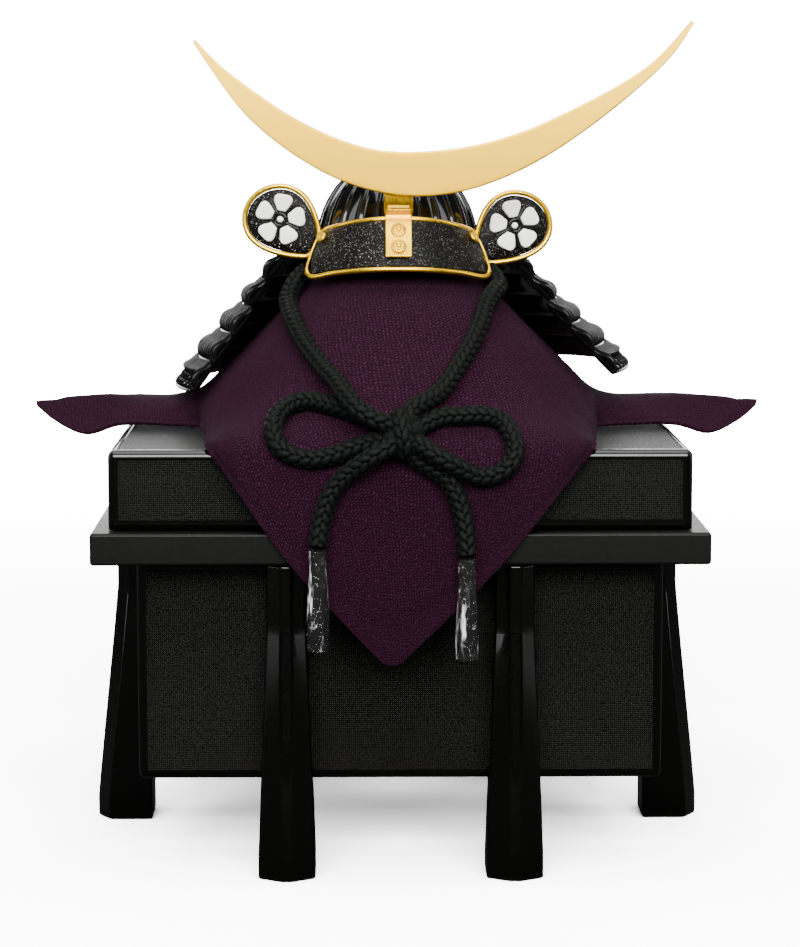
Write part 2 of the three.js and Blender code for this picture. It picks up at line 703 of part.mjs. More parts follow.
// Cross-section of a lame: along runs down the slope and out runs away from the head. The head of
// each lame stands outside the tail of the one above, and the lacing swells between them.
const lameSection = [
  { along: -8.7, out: 0.75 },
  { along: -10.5, out: 0.75 },
  { along: -10.5, out: 2.1 },
  { along: -5, out: 2.6 },
  { along: -1, out: 4.7 },
  { along: 3.4, out: 3.8 },
  { along: 5.4, out: 0.3 },
  { along: 7.2, out: 0.3 },
  { along: 7.2, out: -0.9 },
  { along: -6.4, out: -0.9 },
];

// The guard leans a little: its lower edge is shifted and lifted towards the right.
function onGuard(radius, height, turn) {
  const low = THREE.MathUtils.clamp((guard.firstHeight + 10 - height) / 60, 0, 1);
  const x = radius * Math.sin(turn) + guard.shift * low;
  const y = -radius * Math.cos(turn) * guard.depthScale;
  return new THREE.Vector3(x, y, height + guard.lift * low * x);
}

function lameGeometry(number) {
  const fromTop = guard.pitch * (number - 1);
  const outline = lameSection.map(({ along, out }) => {
    const down = fromTop + along;
    const radius = guard.firstRadius + down * Math.cos(guard.slope) + out * Math.sin(guard.slope);
    const height = guard.firstHeight - down * Math.sin(guard.slope) + out * Math.cos(guard.slope);
    return new THREE.Vector2(radius, height);
  });
  // The first lame runs on inwards as a collar that meets the bowl's rim.
  if (number === 1) {
    outline[0].set(56, 83.4);
    outline[1].set(44, 86.2);
    outline[2].set(44, 88);
    outline[3].set(58.5, 85.4);
  }
  const start = guard.frontTurns[number - 1];
  const sections = [];
  for (let degrees = start; degrees <= 360 - start; degrees += guard.turnStep) {
    const turn = THREE.MathUtils.degToRad(degrees);
    sections.push(
      outline.map(({ x: radius, y: height }) => {
        const point = onGuard(radius, height, turn);
        return radius < 45 ? onBowl(turn, bowl.springHeight, 1.6).setZ(point.z) : point;
      }),
    );
  }
  return loft(sections, outline);
}

// ---- chin cord, tied in a bow in front of the cloth ----

// Centre lines, as sideways place, depth and height. Each lead starts under the bowl's rim and ends
// in the knot, each loop starts and ends there, and each tail hangs from it.
const cordRoutes = {
  cord_lead_left: [
    [-45.5, -17, 77], [-50.5, -24.5, 71.5], [-53.5, -33, 64.5], [-52.5, -44, 60], [-50.5, -56.5, 56],
    [-47.5, -68, 50.5], [-43.5, -79, 44.5], [-39, -88, 39.5], [-34.5, -98, 35], [-29.5, -109, 30.8],
    [-25.5, -120, 26], [-19.5, -128.5, 20], [-13.5, -130.5, 16], [-8, -130.5, 14],
  ],
  cord_lead_right: [
    [44.5, -17, 77.5], [48, -24, 73.5], [49, -33, 70], [46, -44, 68], [41.5, -57, 62.5],
    [39, -67.5, 56], [35.5, -78.5, 49], [31, -87.5, 42], [27, -94.5, 36.5], [23, -101.5, 31],
    [19, -107, 26.5], [14.5, -113, 23.5], [9.5, -118.5, 21.4], [5, -122.5, 19],
  ],
  cord_loop_left: [
    [-9, -119.5, 12.5], [-14, -118.5, 14], [-21, -116, 16.5], [-28, -112.5, 19], [-35, -108, 20.5],
    [-43, -104.5, 21.5], [-50.5, -105.5, 20], [-56.5, -112.5, 16], [-58.5, -122.5, 9.5], [-55.5, -128, 2.5],
    [-50, -129.5, -1], [-41.5, -129.5, -3], [-31.5, -129, -1.5], [-22, -128, 2], [-15, -127, 4],
    [-9, -127, 5],
  ],
  cord_loop_right: [
    [10.5, -121.5, 12], [18, -117.5, 14.8], [29, -116, 15.5], [38.5, -115, 15.5], [46, -116.5, 13.5],
    [51, -124, 7.5], [52.5, -129, 1], [49.5, -132, -5.5], [43, -133, -10], [35.5, -133.5, -10.5],
    [28.5, -136, -7.5], [21.5, -138.5, -3.5], [15.5, -138, 0], [10.5, -135.5, 3],
  ],
  cord_tail_left: [
    [-6.5, -135, 2.5], [-11.5, -137, 0], [-17.5, -136.5, -4], [-24, -134.5, -9], [-29, -134, -14],
    [-32.5, -134.5, -19], [-35, -135.5, -25.5], [-36.5, -136.5, -31], [-37.5, -138, -37],
    [-38, -139, -42.5],
  ],
  cord_tail_right: [
    [5.5, -130.5, -1.5], [10.5, -130.5, -5], [16.5, -131.5, -8.5], [21.5, -133, -12.5], [25, -134.5, -18.5],
    [27, -135.5, -24.5], [28.5, -137, -30.5], [29.5, -138.5, -38.5], [30, -139.5, -46.5],
  ],
};
const knot = {
  place: [0.8, -129, 8],
  halfSize: [10.3, 6.4, 9.4],
  ringRadius: 7.4,
  ringSquash: 0.72,
  ringTurn: THREE.MathUtils.degToRad(78),
  tilt: THREE.MathUtils.degToRad(-24),
};
const tassel = { length: 44, headRadius: 3, hemRadius: 4.7, locks: 8, belowCord: 1.2 };
const film = { length: 46, topRadius: 4.1, bottomRadius: 5.6, wall: 0.4 };

function cordTube(name, diameter) {
  const points = cordRoutes[name].map((place) => new THREE.Vector3(...place));
  return roundTube(points, points.length - 1, diameter, cordSides);
}

// The knot is a round body with one turn of cord over it, cut free of the cord ends that enter it.
function knotGeometry() {
  const body = new THREE.SphereGeometry(1, 12, 8).scale(...knot.halfSize);
  const turnOver = new THREE.TorusGeometry(knot.ringRadius, cordDiameter / 2, 8, 12);
  turnOver.rotateY(knot.ringTurn).scale(1, knot.ringSquash, 1);
  let tied = join([body, turnOver]).rotateX(knot.tilt).translate(...knot.place);
  for (const name of Object.keys(cordRoutes)) {
    tied = cut(tied, cordTube(name, cordDiameter + 2 * gap));
  }
  return tied;
}

// A tassel of yarn locks: every other edge of its skirt stands out.
function tasselGeometry() {
  const { length, headRadius, hemRadius, locks } = tassel;
  const profile = [
    [0, -length], [hemRadius, -length], [hemRadius * 0.92, -length * 0.55], [headRadius, -length * 0.2],
    [headRadius + 0.5, -length * 0.08], [headRadius * 0.7, 0], [0, 0],
  ];
  const geometry = turned(profile, locks * 2);
  const place = geometry.attributes.position;
  for (let i = 0; i < place.count; i++) {
    const [x, y, z] = [place.getX(i), place.getY(i), place.getZ(i)];
    const step = Math.round((Math.atan2(y, x) / Math.PI) * locks);
    const scale = z < -length * 0.3 && step % 2 !== 0 ? 0.84 : 1;
    place.setXYZ(i, x * scale, y * scale, z);
  }
  return geometry;
}

function filmGeometry() {
  const { length, topRadius, bottomRadius, wall } = film;
  const outer = [[topRadius, 0], [bottomRadius, -length * 0.75], [bottomRadius, -length]];
  const inner = outer.toReversed().map(([radius, height]) => [radius - wall, height]);
  return turned([...inner, ...outer, inner[0]].reverse(), 12);
}

function addCord() {
  for (const name of Object.keys(cordRoutes)) {
    addPiece(helmet, name, cordTube(name, cordDiameter), finish.braid);
  }
  addPiece(helmet, "bow_knot", knotGeometry(), finish.braid);
  for (const side of ["left", "right"]) {
    const end = new THREE.Vector3(...cordRoutes["cord_tail_" + side].at(-1));
    end.z -= tassel.belowCord;
    addPiece(helmet, "tassel_" + side, tasselGeometry(), finish.braid).position.copy(end);
    addPiece(helmet, "film_sleeve_" + side, filmGeometry(), finish.film).position.copy(end);
  }
}

addChest();
addPiece(helmet, "stand", standGeometry(), finish.wood);
addPiece(helmet, "draped_cloth", clothGeometry(), finish.crepe);
addPiece(helmet, "bowl", bowlGeometry(), finish.lacquer);
addPiece(helmet, "crown_ring", crownRing(), finish.gilt);
addVisor();
addHolder();
addPiece(helmet, "crescent_crest", crestGeometry(), finish.paleGilt);
addTurnbacks();
for (const number of guard.frontTurns.keys()) {
  addPiece(helmet, "neck_lame_" + (number + 1), lameGeometry(number + 1), finish.lacquer);
}
addCord();

export default whole;
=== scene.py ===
import bmesh
import bpy
import math
import random
import numpy as np
from mathutils import Matrix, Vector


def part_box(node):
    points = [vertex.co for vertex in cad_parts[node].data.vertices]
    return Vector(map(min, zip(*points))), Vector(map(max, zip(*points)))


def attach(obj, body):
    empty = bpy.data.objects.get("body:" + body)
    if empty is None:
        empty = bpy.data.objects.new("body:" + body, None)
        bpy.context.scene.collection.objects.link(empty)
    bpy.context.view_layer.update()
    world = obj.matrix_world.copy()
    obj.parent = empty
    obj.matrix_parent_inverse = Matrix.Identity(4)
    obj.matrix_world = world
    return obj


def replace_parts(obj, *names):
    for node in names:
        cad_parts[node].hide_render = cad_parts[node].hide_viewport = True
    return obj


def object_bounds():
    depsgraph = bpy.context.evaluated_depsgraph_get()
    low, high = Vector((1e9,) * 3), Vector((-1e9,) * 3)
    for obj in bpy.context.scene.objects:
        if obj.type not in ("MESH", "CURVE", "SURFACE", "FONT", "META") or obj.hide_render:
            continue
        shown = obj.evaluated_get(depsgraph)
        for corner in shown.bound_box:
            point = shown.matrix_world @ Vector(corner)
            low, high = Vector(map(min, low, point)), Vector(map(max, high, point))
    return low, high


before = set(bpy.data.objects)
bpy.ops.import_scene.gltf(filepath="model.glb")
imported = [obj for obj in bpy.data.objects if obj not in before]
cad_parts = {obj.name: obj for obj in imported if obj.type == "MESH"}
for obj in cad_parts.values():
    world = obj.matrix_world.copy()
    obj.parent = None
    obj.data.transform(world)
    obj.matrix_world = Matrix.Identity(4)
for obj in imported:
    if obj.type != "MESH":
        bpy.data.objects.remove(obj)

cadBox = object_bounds()
mm = 0.001
helmetBody = "helmet_on_chest"
crestBody = "crest"
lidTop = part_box("chest_lid")[1][2]  # the helmet's heights are counted from here
floorHeight = cadBox[0][2]


def addObject(name, data):
    thing = bpy.data.objects.new(name, data)
    bpy.context.scene.collection.objects.link(thing)
    return thing


def lookTowards(place, aim):
    # how a camera or a lamp is turned so that it looks from its place at its aim
    x, y, z = (a - p for a, p in zip(aim, place))
    return math.pi / 2 + math.atan2(z, math.hypot(x, y)), 0, -math.atan2(x, y)


# camera
cameraPlace = {"eye": (-0.020, -1.460, 0.3548), "aim": (-0.00035, -0.12, 0.1887), "lens": 111.5,
               "farthest": 30}


def addCamera():
    data = bpy.data.cameras.new("frontCamera")
    data.lens = cameraPlace["lens"]
    data.clip_end = cameraPlace["farthest"]
    camera = addObject("frontCamera", data)
    camera.location = cameraPlace["eye"]
    camera.rotation_euler = lookTowards(cameraPlace["eye"], cameraPlace["aim"])
    bpy.context.scene.camera = camera


addCamera()
print("camera placed")


# curves that the pieces share
curveSamples = 1200  # how many short steps a curve's length is measured in
anySide = (0.1, 0.3, 1.0)  # a direction that no line here starts along


def fullTurn(count):
    # evenly spaced angles round a whole turn
    return np.linspace(0, 2 * math.pi, count, endpoint=False)


def smoothLine(points, samples):
    # a rounded curve through every point, evenly tight on long and short stretches
    p = np.asarray(points, float)
    p = np.concatenate([[2 * p[0] - p[1]], p, [2 * p[-1] - p[-2]]])
    count = len(p) - 3
    t = np.asarray(samples, float) * count
    i = np.minimum(t.astype(int), count - 1)
    t = (t - i)[:, None]
    a, b, c, d = p[i], p[i + 1], p[i + 2], p[i + 3]
    dt0, dt1, dt2 = (np.sqrt(np.linalg.norm(v - u, axis=1))[:, None] for u, v in ((a, b), (b, c), (c, d)))
    start = ((b - a) / dt0 - (c - a) / (dt0 + dt1) + (c - b) / dt1) * dt1
    end = ((c - b) / dt1 - (d - b) / (dt1 + dt2) + (d - c) / dt2) * dt1
    return b + start * t + (3 * (c - b) - 2 * start - end) * t**2 + (2 * (b - c) + start + end) * t**3


def evenLine(points, step):
    # the same curve, cut into equal steps
    fine = smoothLine(points, np.linspace(0, 1, curveSamples))
    travelled = np.concatenate([[0], np.cumsum(np.linalg.norm(np.diff(fine, axis=0), axis=1))])
    stops = np.linspace(0, travelled[-1], max(2, round(travelled[-1] / step)) + 1)
    return np.stack([np.interp(stops, travelled, fine[:, k]) for k in range(3)], axis=1), stops


def closedLine(points, places):
    # the same curve run round and round; a place counts the points, from 0 at the first
    wrapped = np.concatenate([points[-3:], points, points[:4]])
    return smoothLine(wrapped, (3 + places) / (len(wrapped) - 1))


def circle(radius, count, height=0.0):
    turn = fullTurn(count)
    return np.stack([radius * np.cos(turn), radius * np.sin(turn), np.full(count, height)], axis=1)


def acrossLine(line, closed=False):
    # two directions square to the line at each point, carried on without twist
    ahead = np.gradient(line, axis=0)
    if closed:
        ahead = np.roll(line, -1, axis=0) - np.roll(line, 1, axis=0)
    ahead /= np.linalg.norm(ahead, axis=1)[:, None]
    side = np.cross(ahead[0], anySide)
    sides = []
    for direction in ahead:
        side = side - direction * side.dot(direction)
        side = side / np.linalg.norm(side)
        sides.append(side)
    sides = np.array(sides)
    return sides, np.cross(ahead, sides)


def rotated(points, angle):
    # turned round the upright axis
    c, s = math.cos(angle), math.sin(angle)
    x, y, z = np.asarray(points, float).T
    return np.stack([x * c - y * s, x * s + y * c, z], axis=1)


def smoothStep(low, high, value):
    t = np.clip((value - low) / (high - low), 0, 1)
    return t * t * (3 - 2 * t)


# meshes that the pieces share
def inFrame(points):
    # millimetres above the lid to metres above the floor
    return np.asarray(points, float) * mm + (0, 0, lidTop)


def addPiece(name, vertices, faces, look, body=helmetBody, uv=None):
    mesh = bpy.data.meshes.new(name)
    mesh.from_pydata([tuple(v) for v in vertices], [], [tuple(f) for f in faces])
    if uv is not None:
        layer = mesh.uv_layers.new(name="surface")
        corners = np.empty(len(mesh.loops), int)
        mesh.loops.foreach_get("vertex_index", corners)
        layer.data.foreach_set("uv", np.asarray(uv, float)[corners].ravel())
    mesh.polygons.foreach_set("use_smooth", [True] * len(mesh.polygons))
    mesh.validate()
    mesh.materials.append(look)
    piece = addObject(name, mesh)
    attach(piece, body)
    return piece


def gridFaces(rows, columns, roundRows=False, roundColumns=False, first=0):
    # the four-sided faces of a grid of points, joined up at its ends where it runs round
    r = np.arange(rows if roundRows else rows - 1)
    c = np.arange(columns if roundColumns else columns - 1)
    r, c = (v.ravel() for v in np.meshgrid(r, c, indexing="ij"))
    rn, cn = (r + 1) % rows, (c + 1) % columns
    return first + np.stack([r * columns + c, r * columns + cn, rn * columns + cn, rn * columns + c], axis=1)


def closedFaces(rows, columns):
    # the faces of a grid that runs round, with its first and last rows closed
    ends = [tuple(range(columns))[::-1], tuple(range((rows - 1) * columns, rows * columns))]
    return [tuple(f) for f in gridFaces(rows, columns, roundColumns=True)] + ends


def addGrid(name, points, look, roundRows=False):
    # the points are rows that run round, in millimetres above the lid
    faces = gridFaces(*points.shape[:2], roundRows, roundColumns=True)
    return addPiece(name, inFrame(points.reshape(-1, 3)), faces, look)


def joinMeshes(parts):
    # (vertices, faces) of several meshes as one
    vertices, faces, first = [], [], 0
    for points, corners in parts:
        vertices.append(np.asarray(points, float))
        faces.extend([tuple(int(v) + first for v in face) for face in corners])
        first += len(points)
    return np.concatenate(vertices), faces


def ringsAlong(line, radius, sides, closed=False):
    # the mesh of rings round a line; there is a radius for each point of the line or of each ring
    side, up = acrossLine(line, closed)
    turn = fullTurn(sides)
    ring = np.cos(turn)[None, :, None] * side[:, None] + np.sin(turn)[None, :, None] * up[:, None]
    points = (line[:, None] + ring * radius[..., None]).reshape(-1, 3)
    if closed:
        return points, [tuple(f) for f in gridFaces(len(line), sides, roundRows=True, roundColumns=True)]
    return points, closedFaces(len(line), sides)


def tube(line, radius, sides, closed=False):
    # a round tube along a line; the radius may change from point to point
    line = np.asarray(line, float)
    return ringsAlong(line, np.broadcast_to(radius, len(line))[:, None], sides, closed)


def turnedMesh(profile, sides):
    # a body turned round the upright axis; the profile is radius and height, from the axis to the axis
    turn = fullTurn(sides)
    profile = np.asarray(profile, float)
    ring = np.stack([np.cos(turn), np.sin(turn)], axis=1)
    heights = np.broadcast_to(profile[:, None, 1:], (len(profile), sides, 1))
    points = np.concatenate([profile[:, None, :1] * ring[None], heights], axis=2)
    return points.reshape(-1, 3), gridFaces(len(profile), sides, roundColumns=True)


def facing(points, origin, axis, up=(0, 0, 1)):
    # turns a mesh made round the upright axis to stand on a point with its axis in a direction
    axis = np.asarray(axis, float) / np.linalg.norm(axis)
    side = np.cross(up, axis)
    side /= np.linalg.norm(side)
    basis = np.stack([side, np.cross(axis, side), axis])
    return np.asarray(points, float) @ basis + origin


def addModifier(piece, kind, name, **values):
    modifier = piece.modifiers.new(name, kind)
    for key, value in values.items():
        setattr(modifier, key, value)


def addBevel(piece, name, width, segments, angle):
    # rounds the edges that are sharper than the angle
    addModifier(piece, "BEVEL", name, width=width * mm, segments=segments, limit_method="ANGLE",
                angle_limit=angle)


def evenShade(piece):
    addModifier(piece, "WEIGHTED_NORMAL", "evenShade", keep_sharp=True)
    piece.data.polygons.foreach_set("use_smooth", [True] * len(piece.data.polygons))


def applyModifiers(piece):
    graph = bpy.context.evaluated_depsgraph_get()
    made = bpy.data.meshes.new_from_object(piece.evaluated_get(graph))
    piece.modifiers.clear()
    piece.data = made


# materials
class Look:
    # a material with its shader, and short ways to add and join nodes
    def __init__(self, name, **values):
        self.material = bpy.data.materials.new(name)
        self.material.use_nodes = True
        self.tree = self.material.node_tree
        self.shader = self.tree.nodes["Principled BSDF"]
        self.set(self.shader, values)

    def put(self, socket, value):
        # joins a node's output to the socket, or sets the socket's own value
        if isinstance(value, bpy.types.NodeSocket):
            self.tree.links.new(value, socket)
        else:
            socket.default_value = value

    def set(self, node, values):
        for key, value in values.items():
            label = key[0].upper() + "".join(" " + c if c.isupper() else c for c in key[1:])
            self.put(node.inputs[{"Ior": "IOR", "Specular": "Specular IOR Level"}.get(label, label)], value)

    def node(self, kind, settings=None, **values):
        node = self.tree.nodes.new("ShaderNode" + kind)
        for key, value in (settings or {}).items():
            setattr(node, key, value)
        self.set(node, values)
        return node

    def mathNode(self, operation, *values):
        node = self.node("Math", {"operation": operation})
        for socket, value in zip(node.inputs, values):
            self.put(socket, value)
        return node.outputs[0]

    def vectorNode(self, operation, *values, **named):
        node = self.node("VectorMath", {"operation": operation}, **named)
        for socket, value in zip(node.inputs, values):
            self.put(socket, value)
        return node.outputs["Value" if operation == "LENGTH" else "Vector"]

    def wave(self, value, period):
        return self.mathNode("SINE", self.mathNode("MULTIPLY", value, 2 * math.pi / period))

    def split(self, vector):
        # the vector's parts, X, Y and Z
        return self.node("SeparateXYZ", vector=vector).outputs

    def place(self, stretch=(1, 1, 1), turn=(0, 0, 0)):
        # the object's own coordinates, in metres
        source = self.node("TexCoord").outputs["Object"]
        mapping = self.node("Mapping", vector=source, scale=stretch, rotation=turn)
        return mapping.outputs["Vector"]

    def surface(self, stretch=(1, 1, 1)):
        source = self.node("UVMap", {"uv_map": "surface"}).outputs["UV"]
        return self.node("Mapping", vector=source, scale=stretch).outputs["Vector"]

    def noise(self, scale, vector, detail=3.0, roughness=0.5):
        node = self.node("TexNoise", vector=vector, scale=scale, detail=detail, roughness=roughness)
        return node.outputs["Fac"]

    def ramp(self, value, low, high, lowValue=0.0, highValue=1.0):
        node = self.node("MapRange", {"interpolation_type": "SMOOTHSTEP"})
        self.tree.links.new(value, node.inputs["Value"])
        limits = {"From Min": low, "From Max": high, "To Min": lowValue, "To Max": highValue}
        for label, number in limits.items():
            node.inputs[label].default_value = number
        return node.outputs["Result"]

    def mixColor(self, factor, first, second):
        node = self.node("Mix", {"data_type": "RGBA"})
        self.put(node.inputs["Factor"], factor)
        sockets = [s for s in node.inputs if s.type == "RGBA"]
        for socket, value in zip(sockets, (first, second)):
            self.put(socket, (*value, 1) if isinstance(value, tuple) else value)
        return [s for s in node.outputs if s.type == "RGBA"][0]

    def bump(self, height, distance, strength=1.0, normal=None):
        node = self.node("Bump", height=height, distance=distance, strength=strength)
        if normal is not None:
            self.put(node.inputs["Normal"], normal)
        return node.outputs["Normal"]


def rgb(red, green, blue):
    # a screen colour from 0 to 255 as the shader's linear colour
    parts = [value / 255 for value in (red, green, blue)]
    return tuple(v / 12.92 if v <= 0.04045 else ((v + 0.055) / 1.055) ** 2.4 for v in parts)


def blackLacquer():
    look = Look("blackLacquer", coatWeight=0.5, coatRoughness=0.04, ior=1.5, specular=0.1)
    cloud = look.noise(60, look.place(), 4)
    grain = look.noise(900, look.place(), 2)
    look.set(look.shader, {
        "baseColor": look.mixColor(cloud, (0.0003, 0.0003, 0.0002), (0.0007, 0.0007, 0.0005)),
        "roughness": look.ramp(grain, 0.3, 0.7, 0.14, 0.22),
        "normal": look.bump(cloud, 0.00025, 0.4),
    })
    return look.material


def pebbledBlack():
    # lacquer over a pebbled ground; some of the pebbles catch the light
    look = Look("pebbledBlack", coatWeight=0.02, coatRoughness=0.1, specular=0.09)
    where = look.place()
    pebbles = look.node("TexVoronoi", vector=where, scale=1500).outputs["Distance"]
    flakes = look.node("TexVoronoi", vector=where, scale=3100).outputs["Color"]
    glint = look.ramp(flakes, 0.83, 0.9)
    grain = look.noise(3200, where, 2)
    lean = look.vectorNode("SUBTRACT", flakes, (0.5, 0.5, 0.5))  # each flake faces its own way
    lean = look.vectorNode("SCALE", lean, scale=look.mathNode("MULTIPLY", glint, 1.1))
    leaning = look.vectorNode("ADD", look.bump(pebbles, 0.0002, 0.9), lean)
    look.set(look.shader, {
        "baseColor": look.mixColor(glint, (0.002, 0.002, 0.0016), (0.42, 0.41, 0.38)),
        "metallic": look.mathNode("MULTIPLY", glint, 0.9),
        "roughness": look.ramp(grain, 0.3, 0.7, 0.25, 0.4),
        "normal": look.vectorNode("NORMALIZE", leaning),
    })
    return look.material


def giltMetal():
    look = Look("giltMetal", metallic=1.0)
    where = look.place()
    cloud = look.noise(140, where, 4)
    scratch = look.noise(1200, look.place((1, 1, 0.2)), 3)
    look.set(look.shader, {
        "baseColor": look.mixColor(cloud, (0.95, 0.5, 0.003), (1.0, 0.65, 0.009)),
        "roughness": look.ramp(scratch, 0.3, 0.7, 0.26, 0.38),
        "normal": look.bump(scratch, 0.00003, 0.3),
    })
    return look.material


def paleGilt():
    # satin plating, with a painted highlight that makes it a little lighter towards the crescent's upper tips
    look = Look("paleGilt", metallic=1.0)
    height = look.split(look.place())["Z"]
    brushed = look.noise(420, look.place((0.08, 1, 1)), 3)
    fine = look.noise(2600, look.place(), 2)
    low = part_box("crescent_crest")[0][2]
    # painted highlight: the colour lightens with height, towards the crescent's upper tips
    paintedTipHighlight = look.ramp(height, low + 0.01, low + 0.08)
    look.set(look.shader, {
        "baseColor": look.mixColor(paintedTipHighlight, (0.74, 0.42, 0.004), (0.92, 0.57, 0.012)),
        "roughness": look.ramp(brushed, 0.3, 0.7, 0.4, 0.5),
        "normal": look.bump(fine, 0.00002, 0.25),
    })
    return look.material


def whiteEnamel():
    look = Look("whiteEnamel", coatWeight=0.3)
    cloud = look.noise(500, look.place(), 3)
    look.set(look.shader, {
        "baseColor": look.mixColor(cloud, rgb(248, 248, 246), rgb(255, 255, 253)),
        "roughness": look.ramp(cloud, 0.3, 0.7, 0.3, 0.42),
        "normal": look.bump(cloud, 0.00008, 0.3),
    })
    return look.material


def braidLook():
    # silk braid with painted shade and highlights: the colour is lighter on the strands' raised tops and dark
    # in the gaps between them
    look = Look("cordBraid", sheenWeight=0.01, sheenRoughness=0.4, specular=0.045,
                sheenTint=(0.75, 0.85, 0.78, 1))
    threads = look.noise(5200, look.place((1, 1, 0.35)), 2)
    # painted shade and highlight: the colour follows how far each strand stands out, darkest in the gaps
    top = look.ramp(look.split(look.surface())["X"], 0.25, 0.95)
    look.set(look.shader, {
        "baseColor": look.mixColor(top, (0.0004, 0.0006, 0.0005), (0.0034, 0.0042, 0.0036)),
        "roughness": look.ramp(threads, 0.3, 0.7, 0.42, 0.6),
        "normal": look.bump(threads, 0.00012, 0.7),
    })
    return look.material


def laceLook():
    # a flat plaited braid: chevrons across its width, from a layout in millimetres
    look = Look("laceBraid", specular=0.045)
    across, along = look.split(look.surface())[:2]
    lean = look.mathNode("MULTIPLY", look.mathNode("ABSOLUTE", across), 1.1)
    chevron = look.mathNode("MULTIPLY_ADD", look.wave(look.mathNode("ADD", along, lean), 1.15), 0.5, 0.5)
    look.set(look.shader, {
        "baseColor": look.mixColor(chevron, (0.0004, 0.0004, 0.0004), (0.003, 0.003, 0.0028)),
        "roughness": look.ramp(chevron, 0.2, 0.8, 0.5, 0.34),
        "normal": look.bump(chevron, 0.00022, 0.8),
    })
    return look.material


crepeGrain = {"row": 0.125, "pebble": 0.2}  # centimetres


def plumCrepe():
    # crepe: small pebbles that run in short broken rows, with painted highlights on their tops and painted
    # shade in their hollows
    look = Look("plumCrepe", sheenWeight=0.02, sheenRoughness=0.5, specular=0.03,
                sheenTint=(0.8, 0.45, 0.7, 1))
    where = look.surface()
    warp, fineWarp = look.noise(1.6, where, 2), look.noise(7.5, where, 2)
    sideways = look.mathNode("MULTIPLY", warp, 0.6)
    upwards = look.mathNode("MULTIPLY_ADD", fineWarp, 0.12, look.mathNode("MULTIPLY", warp, 0.3))
    shifted = look.vectorNode("ADD", where, look.node("CombineXYZ", x=sideways, y=upwards).outputs[0])
    x, y = look.split(shifted)[:2]
    row = look.mathNode("MULTIPLY", y, 1 / crepeGrain["row"])
    stagger = look.mathNode("MULTIPLY", look.mathNode("FLOOR", row), 0.5)
    run = look.mathNode("MULTIPLY_ADD", x, 1 / crepeGrain["pebble"], stagger)
    humps = [look.wave(look.mathNode("FRACT", part), 2) for part in (row, run)]
    patchy = look.ramp(look.noise(4.2, where, 3), 0.3, 0.7, 0.35, 1.1)
    height = look.mathNode("MULTIPLY", look.ramp(look.mathNode("MULTIPLY", *humps), 0.1, 0.9), patchy)
    creases = look.noise(4.5, look.node("Mapping", vector=shifted, scale=(1, 3, 1)).outputs[0], 3)
    relief = look.mathNode("ADD", look.mathNode("MULTIPLY", creases, 0.9), height)
    threads = look.noise(60, where, 2)
    # painted shade and highlight: the pebbles' colour follows their height, dark in the hollows and light on
    # the tops
    paintedPebbleShade = look.mixColor(height, (0.0036, 0.0006, 0.0024), (0.037, 0.0069, 0.0228))
    cloudTone = look.mixColor(look.noise(2.4, where, 3), (0.012, 0.0019, 0.0078), (0.022, 0.004, 0.014))
    look.set(look.shader, {
        "baseColor": look.mixColor(0.28, paintedPebbleShade, cloudTone),
        "roughness": look.ramp(height, 0, 1, 0.9, 0.72),
        "normal": look.bump(threads, 0.00006, 0.5, look.bump(relief, 0.0008, 1.0)),
    })
    return look.material


weaveStep = 1.9  # millimetres for two strands


def wovenBlack():
    # a basket weave of flat strands in a raised grid, with painted highlights on the raised strands
    look = Look("wovenBlack", specular=0.12)
    where = look.surface()
    strands = look.mathNode("MULTIPLY", *[look.wave(part, weaveStep) for part in look.split(where)[:2]])
    grain = look.noise(0.9, where, 3)
    # noise that makes some ribs stand higher than others, in the bump and in the painted highlight
    unevenRibs = look.ramp(grain, 0.3, 0.62, 0.45, 1.2)
    ribs = look.mathNode("MULTIPLY", look.mathNode("ABSOLUTE", strands), unevenRibs)
    # painted highlight: the raised strands are coloured lighter, more so where the ribs stand higher
    paintedRibHighlight = look.ramp(ribs, 0.35, 1.05)
    relief = look.mathNode("MULTIPLY_ADD", ribs, 0.8, look.mathNode("MULTIPLY", grain, 0.25))
    look.set(look.shader, {
        "baseColor": look.mixColor(paintedRibHighlight, (0.0003, 0.0003, 0.0002), (0.029, 0.0296, 0.0255)),
        "roughness": look.ramp(grain, 0.3, 0.7, 0.34, 0.52),
        "normal": look.bump(relief, 0.0007, 1.0),
    })
    return look.material


def satinBlack():
    look = Look("satinBlack", specular=0.1)
    cloud = look.noise(80, look.place(), 4)
    grain = look.noise(1800, look.place(), 2)
    look.set(look.shader, {
        "baseColor": look.mixColor(cloud, (0.0028, 0.003, 0.0022), (0.0036, 0.0038, 0.003)),
        "roughness": look.ramp(grain, 0.3, 0.7, 0.34, 0.46),
        "normal": look.bump(grain, 0.00004, 0.4),
    })
    return look.material


def clearFilm():
    # clear film with painted highlights: it is coloured white and made less clear along its folds, where it
    # would catch the light
    look = Look("clearFilm", specular=0.8, roughness=0.08)
    folds = look.noise(230, look.place((1, 1, 0.16)), 3, 0.6)
    pinch = look.noise(420, look.place((1, 1, 0.5), (0.5, 0.4, 0)), 3, 0.6)
    paintedFoldHighlight = look.mathNode("MAXIMUM", look.ramp(folds, 0.58, 0.7), look.ramp(pinch, 0.62, 0.72, 0.0, 0.7))
    look.set(look.shader, {
        # painted highlight: the fold streaks are coloured near white and made more opaque
        "baseColor": look.mixColor(paintedFoldHighlight, rgb(40, 40, 40), rgb(250, 250, 250)),
        "alpha": look.mathNode("MULTIPLY_ADD", paintedFoldHighlight, 0.5, 0.15),
        "normal": look.bump(look.mathNode("ADD", folds, pinch), 0.0015, 1.0),
    })
    return look.material


